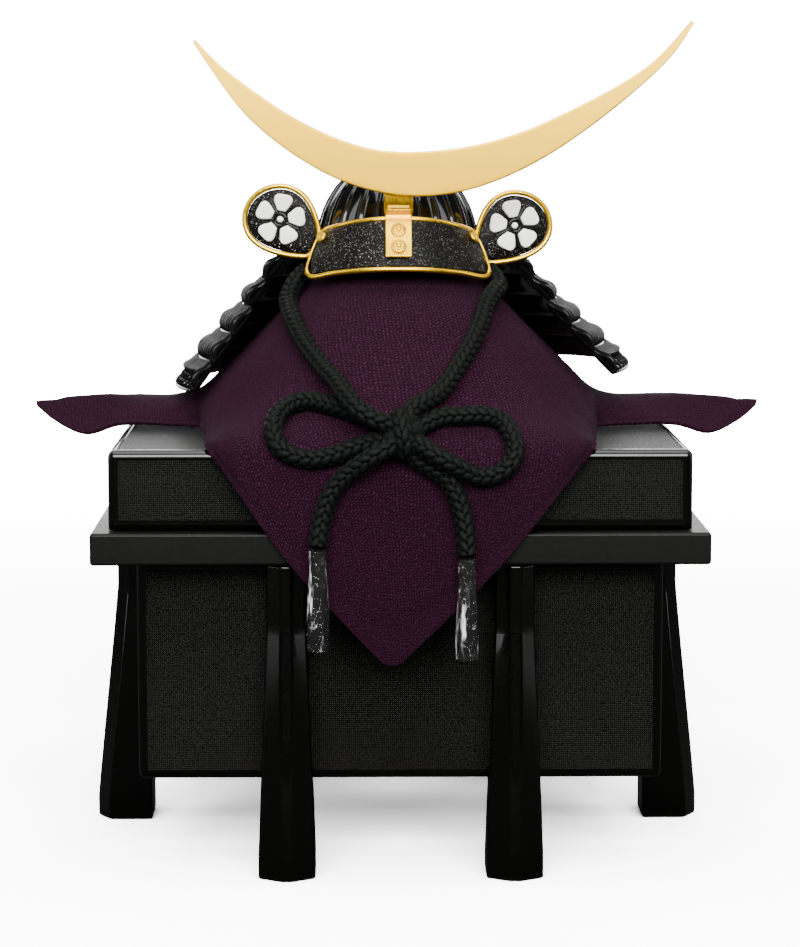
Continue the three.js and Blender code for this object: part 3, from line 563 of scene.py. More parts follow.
def standWood():
    look = Look("standWood")
    rings = look.noise(40, look.place((1, 1, 0.1)), 5)
    look.set(look.shader, {
        "baseColor": look.mixColor(rings, rgb(120, 86, 52), rgb(168, 130, 88)),
        "roughness": look.ramp(rings, 0.3, 0.7, 0.5, 0.7),
        "normal": look.bump(rings, 0.0002, 0.4),
    })
    return look.material


def paleFloor():
    # a white sweep that keeps its glare out of the object's gloss
    look = Look("paleFloor", roughness=0.9, specular=0.0)
    cloud = look.noise(3, look.place(), 2)
    far = look.ramp(look.vectorNode("LENGTH", look.place()), 0.45, 3.2)
    near = look.mixColor(cloud, (3.5, 3.5, 3.5), (3.6, 3.6, 3.6))
    sweep = look.mixColor(far, near, (12.0, 12.0, 12.0))
    direct = look.node("LightPath").outputs["Is Camera Ray"]
    look.set(look.shader, {"baseColor": look.mixColor(direct, (0.03, 0.03, 0.03), sweep)})
    return look.material


lacquer = blackLacquer()
pebbled = pebbledBlack()
gilt = giltMetal()
paleGold = paleGilt()
enamel = whiteEnamel()
cordBraid = braidLook()
laceBraid = laceLook()
crepe = plumCrepe()
woven = wovenBlack()
satin = satinBlack()
film = clearFilm()
wood = standWood()
print("materials made")


# chin cord
# Centre lines in millimetres: sideways, depth and height above the lid.
cordRoutes = {
    "cord_lead_left": [
        (-45.5, -17, 77), (-50.5, -24.5, 71.5), (-53.5, -33, 64.5), (-52.5, -44, 60), (-50.5, -56.5, 56),
        (-47.5, -68, 50.5), (-43.5, -79, 44.5), (-39, -88, 39.5), (-34.5, -98, 35), (-29.5, -109, 30.8),
        (-25.5, -120, 26), (-19.5, -128.5, 20), (-13.5, -130.5, 16), (-8, -130.5, 14)],
    "cord_lead_right": [
        (44.5, -17, 77.5), (48, -24, 73.5), (49, -33, 70), (46, -44, 68), (41.5, -57, 62.5),
        (39, -67.5, 56), (35.5, -78.5, 49), (31, -87.5, 42), (27, -94.5, 36.5), (23, -101.5, 31),
        (19, -107, 26.5), (14.5, -113, 23.5), (9.5, -118.5, 21.4), (5, -122.5, 19)],
    "cord_loop_left": [
        (-9, -119.5, 12.5), (-14, -118.5, 14), (-21, -116, 16.5), (-28, -112.5, 19), (-35, -108, 20.5),
        (-43, -104.5, 21.5), (-50.5, -105.5, 20), (-56.5, -112.5, 16), (-58.5, -122.5, 9.5),
        (-55.5, -128, 2.5), (-50, -129.5, -1), (-41.5, -129.5, -3), (-31.5, -129, -1.5), (-22, -128, 2),
        (-15, -127, 4), (-9, -127, 5)],
    "cord_loop_right": [
        (10.5, -121.5, 12), (18, -117.5, 14.8), (29, -116, 15.5), (38.5, -115, 15.5), (46, -116.5, 13.5),
        (51, -124, 7.5), (52.5, -129, 1), (49.5, -132, -5.5), (43, -133, -10), (35.5, -133.5, -10.5),
        (28.5, -136, -7.5), (21.5, -138.5, -3.5), (15.5, -138, 0), (10.5, -135.5, 3)],
    "cord_tail_left": [
        (-6.5, -135, 2.5), (-11.5, -137, 0), (-17.5, -136.5, -4), (-24, -134.5, -9), (-29, -134, -14),
        (-32.5, -134.5, -19), (-35, -135.5, -25.5), (-36.5, -136.5, -31), (-37.5, -138, -37),
        (-38, -139, -42.5)],
    "cord_tail_right": [
        (5.5, -130.5, -1.5), (10.5, -130.5, -5), (16.5, -131.5, -8.5), (21.5, -133, -12.5),
        (25, -134.5, -18.5), (27, -135.5, -24.5), (28.5, -137, -30.5), (29.5, -138.5, -38.5),
        (30, -139.5, -46.5)],
}
cordTucks = {  # where each cord runs on inside the knot: before its first point and after its last
    "cord_lead_left": ([], [(-3.5, -129.5, 11)]),
    "cord_lead_right": ([], [(3, -126, 13.5)]),
    "cord_loop_left": ([(-4, -124, 10.5)], [(-4, -127.5, 6)]),
    "cord_loop_right": ([(5.5, -125.5, 10)], [(5.5, -133, 5)]),
    "cord_tail_left": ([(-2.5, -132.5, 5)], []),
    "cord_tail_right": ([(2.5, -130, 2.5)], []),
}
cordMake = {"diameter": 8, "core": 3.1, "swell": 1.5, "columns": 6, "pitch": 4.7, "step": 0.36,
            "sides": 64, "strandWidth": 0.6, "strandLength": 0.53, "slant": 0.55, "roundness": 2.4,
            "endFade": 0.6}


def braidRelief(turn, travel):
    # how far each place on the cord stands out: plump strands that slant in and out of each other
    column = turn * cordMake["columns"] / (2 * math.pi)
    relief = np.zeros(np.broadcast(turn, travel).shape)
    for shift in (0, 1):  # a strand is wider than its column, so two neighbours may cover a place
        index = np.floor(column) + shift * np.where(column % 1 < 0.5, -1, 1)
        across = column - index - 0.5
        sign = np.where(index % 2 == 0, 1.0, -1.0)
        along = travel / cordMake["pitch"] + sign * across * cordMake["slant"] + (index % 2) * 0.5
        along = along - np.round(along)
        lump = 1 - (np.abs(across) / cordMake["strandWidth"]) ** cordMake["roundness"]
        lump = lump - (np.abs(along) / cordMake["strandLength"]) ** cordMake["roundness"]
        relief = np.maximum(relief, np.sqrt(np.clip(lump, 0, 1)))
    return relief


def braidedTube(points, closed=False):
    # (vertices, faces, centre line, surface layout) of a braided cord along a line
    line, travel = evenLine(points, cordMake["step"])
    if closed:
        line, travel = line[:-1], travel[:-1]
        pitches = max(1, round(travel[-1] / cordMake["pitch"]))
        travel = travel * (pitches * cordMake["pitch"] / travel[-1])
    relief = braidRelief(fullTurn(cordMake["sides"])[None, :], travel[:, None])
    if not closed:
        toEnd = np.minimum(travel, travel[-1] - travel)[:, None]
        relief = relief * smoothStep(0, cordMake["endFade"], toEnd)
    radius = cordMake["core"] + cordMake["swell"] * relief
    vertices, faces = ringsAlong(line, radius, cordMake["sides"], closed)
    # the layout's first part is each place's relief, which the braid's colour uses for its painted shade and
    # highlights
    uv = np.stack([relief, np.broadcast_to(travel[:, None], relief.shape)], axis=-1).reshape(-1, 2)
    return vertices, faces, line, uv


def pieceName(word, node):
    return word + node.title().replace("_", "")


def addCord(node):
    before, after = cordTucks[node]
    vertices, faces, line, uv = braidedTube(before + cordRoutes[node] + after)
    piece = addPiece(pieceName("braided", node), inFrame(vertices), faces, cordBraid, uv=uv)
    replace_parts(piece, node)
    return piece, inFrame(line)


cordPieces = {node: addCord(node) for node in cordRoutes}
print("cords made")


# bow knot
knotMake = {"place": (0.8, -129, 8), "core": (9.5, 6.3, 10.6), "coreSwell": 0.8, "coreRows": 40,
            "coreSides": 64, "strandStep": 7, "ring": 8.4, "ringPoints": 25, "squash": 0.72, "turn": 78,
            "tilt": -24}


def addKnot():
    # a round core with one turn of the same cord over it
    tilt, turn = math.radians(knotMake["tilt"]), math.radians(knotMake["turn"])
    c, s = math.cos(tilt), math.sin(tilt)
    leanBack = np.array([[1, 0, 0], [0, c, -s], [0, s, c]])
    angle = np.linspace(0, 2 * math.pi, knotMake["ringPoints"])
    x, y = -np.sin(angle) * math.cos(turn), -knotMake["squash"] * np.cos(angle)
    loop = knotMake["ring"] * np.stack([x, y, np.sin(angle)], axis=1)
    ring, ringFaces, _, ringUv = braidedTube(loop @ leanBack.T + knotMake["place"], closed=True)

    rise = np.linspace(-math.pi / 2, math.pi / 2, knotMake["coreRows"])[:, None]
    spin = fullTurn(knotMake["coreSides"])[None, :]
    relief = braidRelief(spin, (rise + 2) * knotMake["strandStep"])
    ball = [np.cos(rise) * np.cos(spin), np.cos(rise) * np.sin(spin), np.sin(rise) + 0 * spin]
    size = np.asarray(knotMake["core"]) + knotMake["coreSwell"] * relief[..., None]
    core = (np.stack(ball, axis=-1) * size).reshape(-1, 3) @ leanBack.T + knotMake["place"]
    coreFaces = gridFaces(knotMake["coreRows"], knotMake["coreSides"], roundColumns=True)
    coreUv = np.stack([relief.ravel(), np.zeros(relief.size)], axis=1)
    vertices, faces = joinMeshes([(ring, ringFaces), (core, coreFaces)])
    uv = np.concatenate([ringUv, coreUv])
    piece = addPiece("bowKnot", inFrame(vertices), faces, cordBraid, uv=uv)
    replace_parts(piece, "bow_knot")
    return piece


bowKnot = addKnot()
print("knot made")


# tassels and their film sleeves
tasselMake = {"length": 44, "headRadius": 3.1, "hemRadius": 4.5, "neck": 0.78, "strands": 90,
              "strandRadius": 0.36, "points": 9, "sway": 0.22, "wraps": 5, "wrapStep": 0.75,
              "wrapRadius": 0.42, "belowCord": 1.2, "tone": 0.7, "draws": {"left": 5, "right": 9}}
filmMake = {"length": 46, "topRadius": 4.2, "hemRadius": 5.5, "crinkle": 0.3, "folds": 14, "rows": 60,
            "sides": 72, "flatter": 0.06, "thickness": 0.12, "draws": {"left": 3, "right": 12}}
tasselCap = [(0, 0.4), (1.8, 0.3), (2.9, -0.3), (3.1, -4.6), (0, -4.6)]  # radius and height


def tailEnd(side):
    return np.asarray(cordRoutes["cord_tail_" + side][-1], float) - (0, 0, tasselMake["belowCord"])


def addTassel(side):
    # yarn ends that hang from a bound head
    rng = np.random.default_rng(tasselMake["draws"][side])
    count, neck = tasselMake["points"], tasselMake["headRadius"] * tasselMake["neck"]
    parts = []
    for _ in range(tasselMake["strands"]):
        angle, reach = rng.uniform(0, 2 * math.pi), math.sqrt(rng.uniform(0.02, 1))
        drop = np.linspace(0.02, rng.uniform(0.93, 1.0), count)
        spread = neck + (tasselMake["hemRadius"] - neck) * drop**0.8
        sway = rng.uniform(-tasselMake["sway"], tasselMake["sway"], (count, 2)).cumsum(axis=0) * 0.5
        x = reach * spread * math.cos(angle) + sway[:, 0]
        y = reach * spread * math.sin(angle) + sway[:, 1]
        outside = np.maximum(1, np.hypot(x, y) / (spread - 0.1))
        line = np.stack([x / outside, y / outside, -drop * tasselMake["length"]], axis=1)
        parts.append(tube(line, np.linspace(1, 0.8, count) * tasselMake["strandRadius"], 5))
    for turn in range(tasselMake["wraps"]):  # the binding round the head
        wrap = circle(tasselMake["headRadius"] + 0.1, 24, -1.0 - turn * tasselMake["wrapStep"])
        parts.append(tube(wrap, tasselMake["wrapRadius"], 6, closed=True))
    parts.append(turnedMesh(tasselCap, 20))
    vertices, faces = joinMeshes(parts)
    vertices = inFrame(vertices + tailEnd(side))
    uv = np.full((len(vertices), 2), tasselMake["tone"])
    piece = addPiece(pieceName("yarnTassel", side), vertices, faces, cordBraid, uv=uv)
    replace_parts(piece, "tassel_" + side)
    return piece


def addFilm(side):
    # a thin clear sleeve, pinched and crinkled, open at both ends
    rng = np.random.default_rng(filmMake["draws"][side])
    rows, columns = filmMake["rows"], filmMake["sides"]
    down, turn = np.linspace(0, 1, rows)[:, None], fullTurn(columns)[None]
    spread = smoothStep(0, 0.8, down)
    radius = filmMake["topRadius"] + (filmMake["hemRadius"] - filmMake["topRadius"]) * spread
    ripple = np.zeros((rows, columns))
    for _ in range(filmMake["folds"]):
        waves, phase, rise = rng.integers(2, 9), rng.uniform(0, 6.28), rng.uniform(-14, 14)
        ripple += rng.uniform(0.3, 1) * np.abs(np.sin(waves * turn / 2 + phase + rise * down)) ** 3
    radius = radius + filmMake["crinkle"] * (ripple / ripple.max() - 0.75)
    squeeze = 1 - filmMake["flatter"] * np.cos(2 * turn + 0.6)
    z = np.broadcast_to(-down * filmMake["length"], radius.shape)
    points = np.stack([radius * squeeze * np.cos(turn), radius * np.sin(turn), z], axis=2)
    piece = addGrid(pieceName("filmSleeve", side), points + tailEnd(side), film)
    addModifier(piece, "SOLIDIFY", "filmThickness", thickness=filmMake["thickness"] * mm, offset=-1)
    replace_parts(piece, "film_sleeve_" + side)
    return piece


def declareCords():
    pieces = {side: [addTassel(side), addFilm(side)] for side in ("left", "right")}
    knotted = False
    for node, (piece, line) in cordPieces.items():
        if "lead" in node and not knotted:
            others, knotted = [bowKnot], True


declareCords()
print("tassels and film made")


# storage chest
chestMake = {"frame": 4.6, "step": 0.5, "recess": 0.25, "boxRound": 3.4, "ledgeRound": 1.5, "wall": 6,
             "sharp": 0.9}
boxSides = {"left": (0, 1, 3, 2), "right": (4, 6, 7, 5), "front": (0, 4, 5, 1), "back": (2, 3, 7, 6),
            "bottom": (0, 2, 6, 4), "top": (1, 5, 7, 3)}


def boxCorners(low, high):
    return [(x, y, z) for x in (low[0], high[0]) for y in (low[1], high[1]) for z in (low[2], high[2])]


def surfaceMillimetres(mesh):
    # lays each flat face out in millimetres, so that a weave keeps its size on every side
    layer = mesh.uv_layers.new(name="surface")
    for face in mesh.polygons:
        normal = [abs(v) for v in face.normal]
        axis = normal.index(max(normal))
        u, v = [k for k in range(3) if k != axis]
        for corner in face.loop_indices:
            place = mesh.vertices[mesh.loops[corner].vertex_index].co
            layer.data[corner].uv = (place[u] / mm, place[v] / mm)


def boxPiece(name, node, openSides, looks, panels=False):
    # a box without its open sides; each side may hold a panel that is sunk in a frame
    mesh = bmesh.new()
    points = [mesh.verts.new(c) for c in boxCorners(*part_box(node))]
    faces = {side: mesh.faces.new([points[i] for i in loop]) for side, loop in boxSides.items()}
    for side in openSides:
        mesh.faces.remove(faces.pop(side))
    bmesh.ops.recalc_face_normals(mesh, faces=mesh.faces)
    if panels:
        sides = list(faces.values())
        bmesh.ops.inset_individual(mesh, faces=sides, thickness=chestMake["frame"] * mm, use_even_offset=True)
        sunk = bmesh.ops.inset_individual(mesh, faces=sides, thickness=chestMake["step"] * mm,
                                          depth=-chestMake["recess"] * mm)
        for face in [*sides, *sunk["faces"]]:
            face.material_index = 1
    data = bpy.data.meshes.new(name)
    mesh.to_mesh(data)
    mesh.free()
    surfaceMillimetres(data)
    for look in looks:
        data.materials.append(look)
    return addObject(name, data)


def finishBox(piece, node):
    evenShade(piece)
    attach(piece, helmetBody)
    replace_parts(piece, node)


def addPanelBox(name, node, openSide):
    piece = boxPiece(name, node, [openSide], [lacquer, woven], panels=True)
    addBevel(piece, "roundedEdges", chestMake["boxRound"], 5, chestMake["sharp"])
    addModifier(piece, "SOLIDIFY", "wallThickness", thickness=chestMake["wall"] * mm, offset=-1)
    finishBox(piece, node)


def addLedge():
    # a frame round the body, as thick as it stands out and as the body's wall
    piece = boxPiece("satinLedge", "chest_ledge", ["top", "bottom"], [satin])
    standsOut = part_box("chest_ledge")[1][0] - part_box("chest_body")[1][0]
    addModifier(piece, "SOLIDIFY", "wallThickness", thickness=standsOut + chestMake["wall"] * mm, offset=-1)
    addBevel(piece, "roundedEdges", chestMake["ledgeRound"], 4, chestMake["sharp"])
    finishBox(piece, "chest_ledge")


legMake = {"topWidth": 18.6, "footWidth": 26.6, "topDepth": 17, "footDepth": 28, "straight": 28,
           "sole": 10, "chamfer": 6.5, "ridge": 5, "curve": 0.12, "rounding": 1.3, "sharp": 0.45,
           "rows": 24}
legTurns = {"leg_front_left": 180, "leg_front_right": 180, "leg_back_left": 0, "leg_back_right": 0,
            "leg_side_left": 90, "leg_side_right": -90}


def legSection(z, top):
    # six corners at a height: the leg spreads from under the ledge in a slight hollow curve
    spread = np.clip((top - legMake["straight"] - z) / (top - legMake["straight"] - legMake["sole"]), 0, 1)
    spread = legMake["curve"] * smoothStep(0, 1, spread) + (1 - legMake["curve"]) * spread
    side = (legMake["topWidth"] + (legMake["footWidth"] - legMake["topWidth"]) * spread) / 2
    depth = legMake["topDepth"] + (legMake["footDepth"] - legMake["topDepth"]) * spread
    shoulder, ridge = depth - legMake["chamfer"], legMake["ridge"] / 2
    right = [(side, 0, z), (side, shoulder, z), (ridge, depth, z)]
    return [(-side, 0, z), *right, (-ridge, depth, z), (-side, shoulder, z)]


def addLeg(node, turn):
    low, high = (np.array(corner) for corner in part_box(node))
    top = (high[2] - low[2]) / mm
    spreading = np.linspace(legMake["sole"], top - legMake["straight"], legMake["rows"])
    levels = [0, legMake["sole"] * 0.5, *spreading, top]
    points = rotated(np.array([legSection(z, top) for z in levels]).reshape(-1, 3), math.radians(turn))
    points -= (points.min(axis=0) + points.max(axis=0)) / 2 * (1, 1, 0)
    foot = ((low[0] + high[0]) / 2, (low[1] + high[1]) / 2, low[2])
    piece = addPiece(pieceName("lacquered", node), points * mm + foot, closedFaces(len(levels), 6), lacquer)
    addBevel(piece, "softEdges", legMake["rounding"], 4, legMake["sharp"])
    evenShade(piece)
    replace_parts(piece, node)


addPanelBox("wovenLid", "chest_lid", "bottom")
addPanelBox("wovenBody", "chest_body", "top")
addLedge()
for node, turn in legTurns.items():
    addLeg(node, turn)
print("chest made")


# draped cloth
# One row for each radial line of a quarter of the cloth, front corner to side corner: its direction,
# its radii at two heights, then foot, lip, fall and hem as sideways, forward and height.
clothHeights = {"waist": 79, "waistRadius": 35.5, "upper": 62, "lower": 38}
clothRows = [
    (0, 64, 89, (0, 109, 16), (0, 122.4, 0), (0, 131.6, -46), (0, 133, -101)),
    (13, 64, 89, (25, 107, 16), (26, 122.2, 0), (25, 131.4, -42), (24, 133, -77)),
    (26, 63, 89, (49, 98, 17), (52, 122, 1.6), (51, 129, -20), (47, 132, -53)),
    (36, 61, 88, (66, 86, 17), (74, 119, 4.4), (75.6, 124, -4), (71.5, 127.4, -22)),
    (42, 60, 87, (74, 77, 17), (82, 109, 6), (83.6, 122, 2.6), (82.4, 125.4, -7)),
    (48, 59, 86, (80, 68, 17), (87, 90, 6), (88, 113, 3), (88.6, 123.4, 1.8)),
    (56, 57, 84, (86, 57, 17), (90.5, 70, 7), (91, 80, 3), (91.5, 95, 2.6)),
    (64, 55, 80.5, (90, 44, 18), (93.5, 51, 9), (94.5, 55, 4.5), (94.5, 63, 2.2)),
    (71, 53, 78, (93, 32, 18), (96.5, 33, 11), (97, 33, 6), (97.5, 36, 2.4)),
    (77, 52, 76.5, (94, 22, 18), (99, 25, 11), (105, 27, 5.5), (113, 29, 2.2)),
    (82, 51, 75.5, (95, 14, 18), (105, 16, 12), (121, 21, 8), (137, 27, 2.4)),
    (86, 50.5, 75, (95, 7, 18), (109, 8, 13), (132, 12, 11.4), (154, 21, -2.5)),
    (88, 50.5, 75, (95, 3, 18), (111, 4, 13.2), (138, 6, 12.8), (169, 11, 2.5)),
    (90, 50.5, 75, (95, 0, 18), (112, 0, 13.2), (146, 0, 13.6), (181, 0, 10.4)),
]
clothMake = {"side": 354, "thickness": 2.1, "crown": 88, "domeWidth": 32.8, "domeHeight": 41.4,
             "domeFoot": 6, "domeRows": 14, "rows": 92, "between": 6, "tipShift": -4.5,
             "cornersFrom": (0.62, 0.97), "blunt": 0.8, "bluntSide": 179.5, "bluntDrop": 97, "seam": 0.962,
             "seamWidth": 0.011, "seamDepth": 0.55, "hemReach": 0.7, "topReach": 6}
dentMake = {"depth": 0.22, "fineDepth": 0.1, "fade": (0.2, 0.5)}
hemProfile = ((0.35, 0.95), (0.65, 0.7), (0.72, 0.45), (0.45, 0.16), (0.3, 0.0),  # outwards and upwards
              (0.45, -0.16), (0.72, -0.45), (0.65, -0.7), (0.35, -0.95))


def onDome(rise):
    # radius and height of the cloth where it covers the round head below
    height = clothMake["crown"] + clothMake["domeHeight"] * math.sin(rise)
    return clothMake["domeWidth"] * math.cos(rise), height


def clothLine(row, sideways, forward, samples):
    # one radial line, from the top of the dome to the hem
    turn = math.radians(row[0])
    lowestTip = clothRows[0][6][2]

    def ring(radius, height):
        return sideways * radius * math.sin(turn), -forward * radius * math.cos(turn), height

    def outer(place):
        x, reach, height = place
        shift = clothMake["tipShift"] * height / lowestTip if forward > 0 and height < 0 else 0
        return sideways * x + shift, -forward * reach, height

    points = [ring(*onDome(math.radians(clothMake["domeFoot"]))),
              ring(clothHeights["waistRadius"], clothHeights["waist"]),
              ring(row[1], clothHeights["upper"]), ring(row[2], clothHeights["lower"])]
    skirt = smoothLine(points + [outer(place) for place in row[3:]], samples)
    rises = np.radians(np.linspace(90, clothMake["domeFoot"], clothMake["domeRows"])[1:-1])
    return np.concatenate([[ring(*onDome(rise)) for rise in rises], skirt])


def clothSurface():
    # the middle layer, quarter by quarter; soft across the middle of each side, sharp at the corners
    samples, between = np.linspace(0, 1, clothMake["rows"]), clothMake["between"]
    fine = np.linspace(0, 1, (len(clothRows) - 1) * between + 1)
    around, sharp = [], []
    for sideways, forward in ((1, 1), (1, -1), (-1, -1), (-1, 1)):
        rows = clothRows if sideways == forward else clothRows[::-1]
        lines = np.array([clothLine(row, sideways, forward, samples) for row in rows])
        around.append(lines[:-1])
        sharp.append(np.stack([smoothLine(lines[:, k], fine)[:-1] for k in range(lines.shape[1])], axis=1))
    around, sharp = np.concatenate(around), np.concatenate(sharp)
    places = np.arange(len(around) * between) / between
    soft = np.stack([closedLine(around[:, k], places) for k in range(around.shape[1])], axis=1)
    weight = smoothStep(*clothMake["cornersFrom"], np.linspace(0, 1, around.shape[1]))[None, :, None]
    surface = soft * (1 - weight) + sharp * weight
    # the corners are folded over, so they end blunt
    blunt, side, drop = clothMake["blunt"], clothMake["bluntSide"], -clothMake["bluntDrop"]
    x, z = surface[..., 0], surface[..., 2]
    surface[..., 0] = np.clip(x, -side, side) * blunt + x * (1 - blunt)
    surface[..., 2] = np.maximum(z, drop) * blunt + z * (1 - blunt)
    return surface


def clothPlaces(surface):
    # where each place lay on the flat square, in centimetres, for the crepe's grain
    steps = np.linalg.norm(np.diff(surface, axis=1), axis=2)
    start = np.zeros((len(surface), 1))
    reach = np.concatenate([start, np.cumsum(steps, axis=1)], axis=1) + clothMake["topReach"]
    turn = fullTurn(len(surface))[:, None]
    u, v = reach * np.sin(turn), -reach * np.cos(turn)
    return np.stack([u + v, v - u], axis=2) * math.sqrt(0.5) * 0.1


def clothNormals(surface):
    around = np.roll(surface, -1, axis=0) - np.roll(surface, 1, axis=0)
    normal = np.cross(np.gradient(surface, axis=1), around)
    normal /= np.maximum(np.linalg.norm(normal, axis=2, keepdims=True), 1e-9)
    return -normal if normal[0, 5, 2] < 0 else normal


def dentsOn(surface):
    # soft long dents and finer ones between them, on the skirt only
    x, y, z = np.moveaxis(surface, 2, 0)
    dents = np.sin(x * 0.11 + 1.3 * np.sin(y * 0.05)) * np.sin(z * 0.09 + y * 0.06) * dentMake["depth"]
    dents += np.sin(x * 0.31 + y * 0.23 + 2 * np.sin(z * 0.12)) * dentMake["fineDepth"]
    return dents * smoothStep(*dentMake["fade"], np.linspace(0, 1, surface.shape[1]))


def addCloth():
    # two layers, pressed together along a seam and rounded at the hem
    surface = clothSurface()
    columns, rows = surface.shape[:2]
    normal = clothNormals(surface)
    outward = np.gradient(surface, axis=1)[:, -1]
    outward = outward / np.linalg.norm(outward, axis=1)[:, None]
    surface = surface + normal * dentsOn(surface)[..., None]
    half = clothMake["thickness"] / 2
    toSeam = (np.linspace(0, 1, rows) - clothMake["seam"]) / clothMake["seamWidth"]
    lift = normal * (half * (1 - clothMake["seamDepth"] * np.exp(-toSeam**2)))[None, :, None]
    edge = [surface[:, -1] + outward * (out * half * clothMake["hemReach"]) + normal[:, -1] * (rise * half)
            for out, rise in hemProfile]
    loops = [*np.moveaxis(surface + lift, 1, 0), *edge, *np.moveaxis(surface - lift, 1, 0)[::-1]]
    flat = np.moveaxis(clothPlaces(surface), 1, 0)
    uv = np.concatenate([*flat, *([flat[-1]] * len(edge)), *flat[::-1], [(0, 0), (0, 0)]])
    crown = clothMake["crown"] + clothMake["domeHeight"]
    vertices = np.concatenate([*loops, [(0, 0, crown + half), (0, 0, crown - half)]])
    faces = [tuple(f) for f in gridFaces(len(loops), columns, roundColumns=True)]
    top, lastRow = len(vertices) - 2, (len(loops) - 1) * columns
    for k in range(columns):
        nextK = (k + 1) % columns
        faces.append((nextK, k, top))
        faces.append((lastRow + k, lastRow + nextK, top + 1))
    piece = addPiece("crepeCloth", inFrame(vertices), faces, crepe, uv=uv)
    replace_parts(piece, "draped_cloth")


addCloth()
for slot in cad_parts["stand"].material_slots:
    slot.material = wood
print("cloth made")


# bowl and crown ring
bowlMake = {"halfWidth": 39.5, "halfDepth": 43, "height": 45, "spring": 88, "rim": 82, "wall": 1.8,
            "ribs": 24, "ribHeight": 0.9, "ribWidth": 0.085, "grooveAt": 0.17, "grooveWidth": 0.05,
            "grooveDepth": 0.18, "fade": (0.05, 0.24), "around": 20}
# above the rim, outwards, and share of the ribs
bowlRimSteps = ((3, 0.3, 0.6), (1.4, 0.5, 0), (0.3, 0.5, 0), (0, 0.1, 0))


def onBowl(turn, height, offset=0.0):
    # a place on the bowl's outer face; turn is from the front, in radians
    rise = np.clip((height - bowlMake["spring"]) / bowlMake["height"], 0, 1)
    scale = np.sqrt(1 - rise**2)
    x = (bowlMake["halfWidth"] * scale + offset) * np.sin(turn)
    y = -(bowlMake["halfDepth"] * scale + offset) * np.cos(turn)
    return np.stack(np.broadcast_arrays(x, y, height), axis=-1)


def addBowl():
    # plates between standing ribs; each rib is a folded flange with a fine groove beside it
    rim, spring = bowlMake["rim"], bowlMake["spring"]
    columns = bowlMake["ribs"] * bowlMake["around"]
    turn = fullTurn(columns)
    fromRib = (turn * bowlMake["ribs"] / (2 * math.pi) + 0.5) % 1 - 0.5
    rib = bowlMake["ribHeight"] * np.exp(-(fromRib / bowlMake["ribWidth"]) ** 4)
    toGroove = (np.abs(fromRib) - bowlMake["grooveAt"]) / bowlMake["grooveWidth"]
    relief = rib - bowlMake["grooveDepth"] * np.exp(-toGroove**2)
    loops = []
    for rise in np.radians(np.concatenate([[86, 80], np.linspace(74, 0, 34)])):
        fade = float(smoothStep(*bowlMake["fade"], math.cos(rise)))
        loops.append(onBowl(turn, spring + bowlMake["height"] * math.sin(rise), relief * fade))
    for above, outwards, share in bowlRimSteps:
        loops.append(onBowl(turn, rim + above, outwards + share * rib))
    loops += [onBowl(turn, height, -bowlMake["wall"]) for height in (rim, spring)]
    width, depth, height = (bowlMake[way] - bowlMake["wall"] for way in ("halfWidth", "halfDepth", "height"))
    for rise in np.radians([20, 40, 60, 80]):  # the inner face
        x, y = width * math.cos(rise) * np.sin(turn), -depth * math.cos(rise) * np.cos(turn)
        loops.append(np.stack([x, y, np.full(columns, spring + height * math.sin(rise))], axis=1))
    faces = [tuple(f) for f in gridFaces(len(loops), columns, roundColumns=True)]
    faces += [tuple(range(columns)), tuple(range((len(loops) - 1) * columns, len(loops) * columns))[::-1]]
    piece = addPiece("ribbedBowl", inFrame(np.concatenate(loops)), faces, lacquer)
    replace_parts(piece, "bowl")


crownMake = {"seat": 130, "aboveSeat": 2.1, "petals": 16, "sides": 192, "squash": 0.5}


def addCrownRing():
    # three petalled tiers under a short round collar, open in the middle
    seat = onBowl(math.pi / 2, crownMake["seat"])[0]
    base = crownMake["seat"] + crownMake["aboveSeat"]
    turn = fullTurn(crownMake["sides"])
    petal = np.abs(np.cos(turn * crownMake["petals"] / 2)) ** 0.45
    profile = [
        # radius, height, how far the petals draw the edge in
        (3.0, base + 1.8, 0), (seat - 1, base - 0.6, 0), (seat + 0.6, base - 0.2, 0.9),
        (seat + 0.5, base + 0.5, 0.9), (seat - 1.2, base + 1.1, 0.3), (10.4, base + 1.2, 0.7),
        (10.3, base + 1.9, 0.7), (9.0, base + 2.4, 0.2), (7.6, base + 2.4, 0.5), (7.5, base + 3.0, 0.5),
        (6.3, base + 3.3, 0), (5.4, base + 3.4, 0), (5.3, base + 5.0, 0), (4.9, base + 5.2, 0),
        (3.3, base + 5.2, 0), (3.0, base + 5.0, 0)]
    loops = []
    for radius, height, drawn in profile:
        reach = radius - drawn * (1 - petal)
        level = base + (height - base) * crownMake["squash"]
        x, y = reach * np.sin(turn), -reach * np.cos(turn)
        loops.append(np.stack([x, y, np.full(len(turn), level)], axis=1))
    piece = addGrid("crownRing", np.stack(loops), gilt, roundRows=True)
    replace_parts(piece, "crown_ring")


addBowl()
addCrownRing()
print("bowl made")


# visor
visorMake = {"topMiddle": 103.3, "topEnd": 95, "topTurn": 66, "offBowl": 2.6, "bottomMiddle": 79.8,
             "bottomEnd": 74.6, "bottomReach": 58, "bottomHalfWidth": 45, "bottomSweep": 25, "bulge": 1.6,
             "thickness": 1.5, "rimRadius": 1.3, "sideRim": 0.75, "rimPoints": 320, "rows": 40,
             "columns": 120}
visorStops = np.array([-0.946, -0.66, -0.33, 0, 0.33, 0.66, 0.946])
visorDowns = np.array([0.14, 0.5, 0.86])
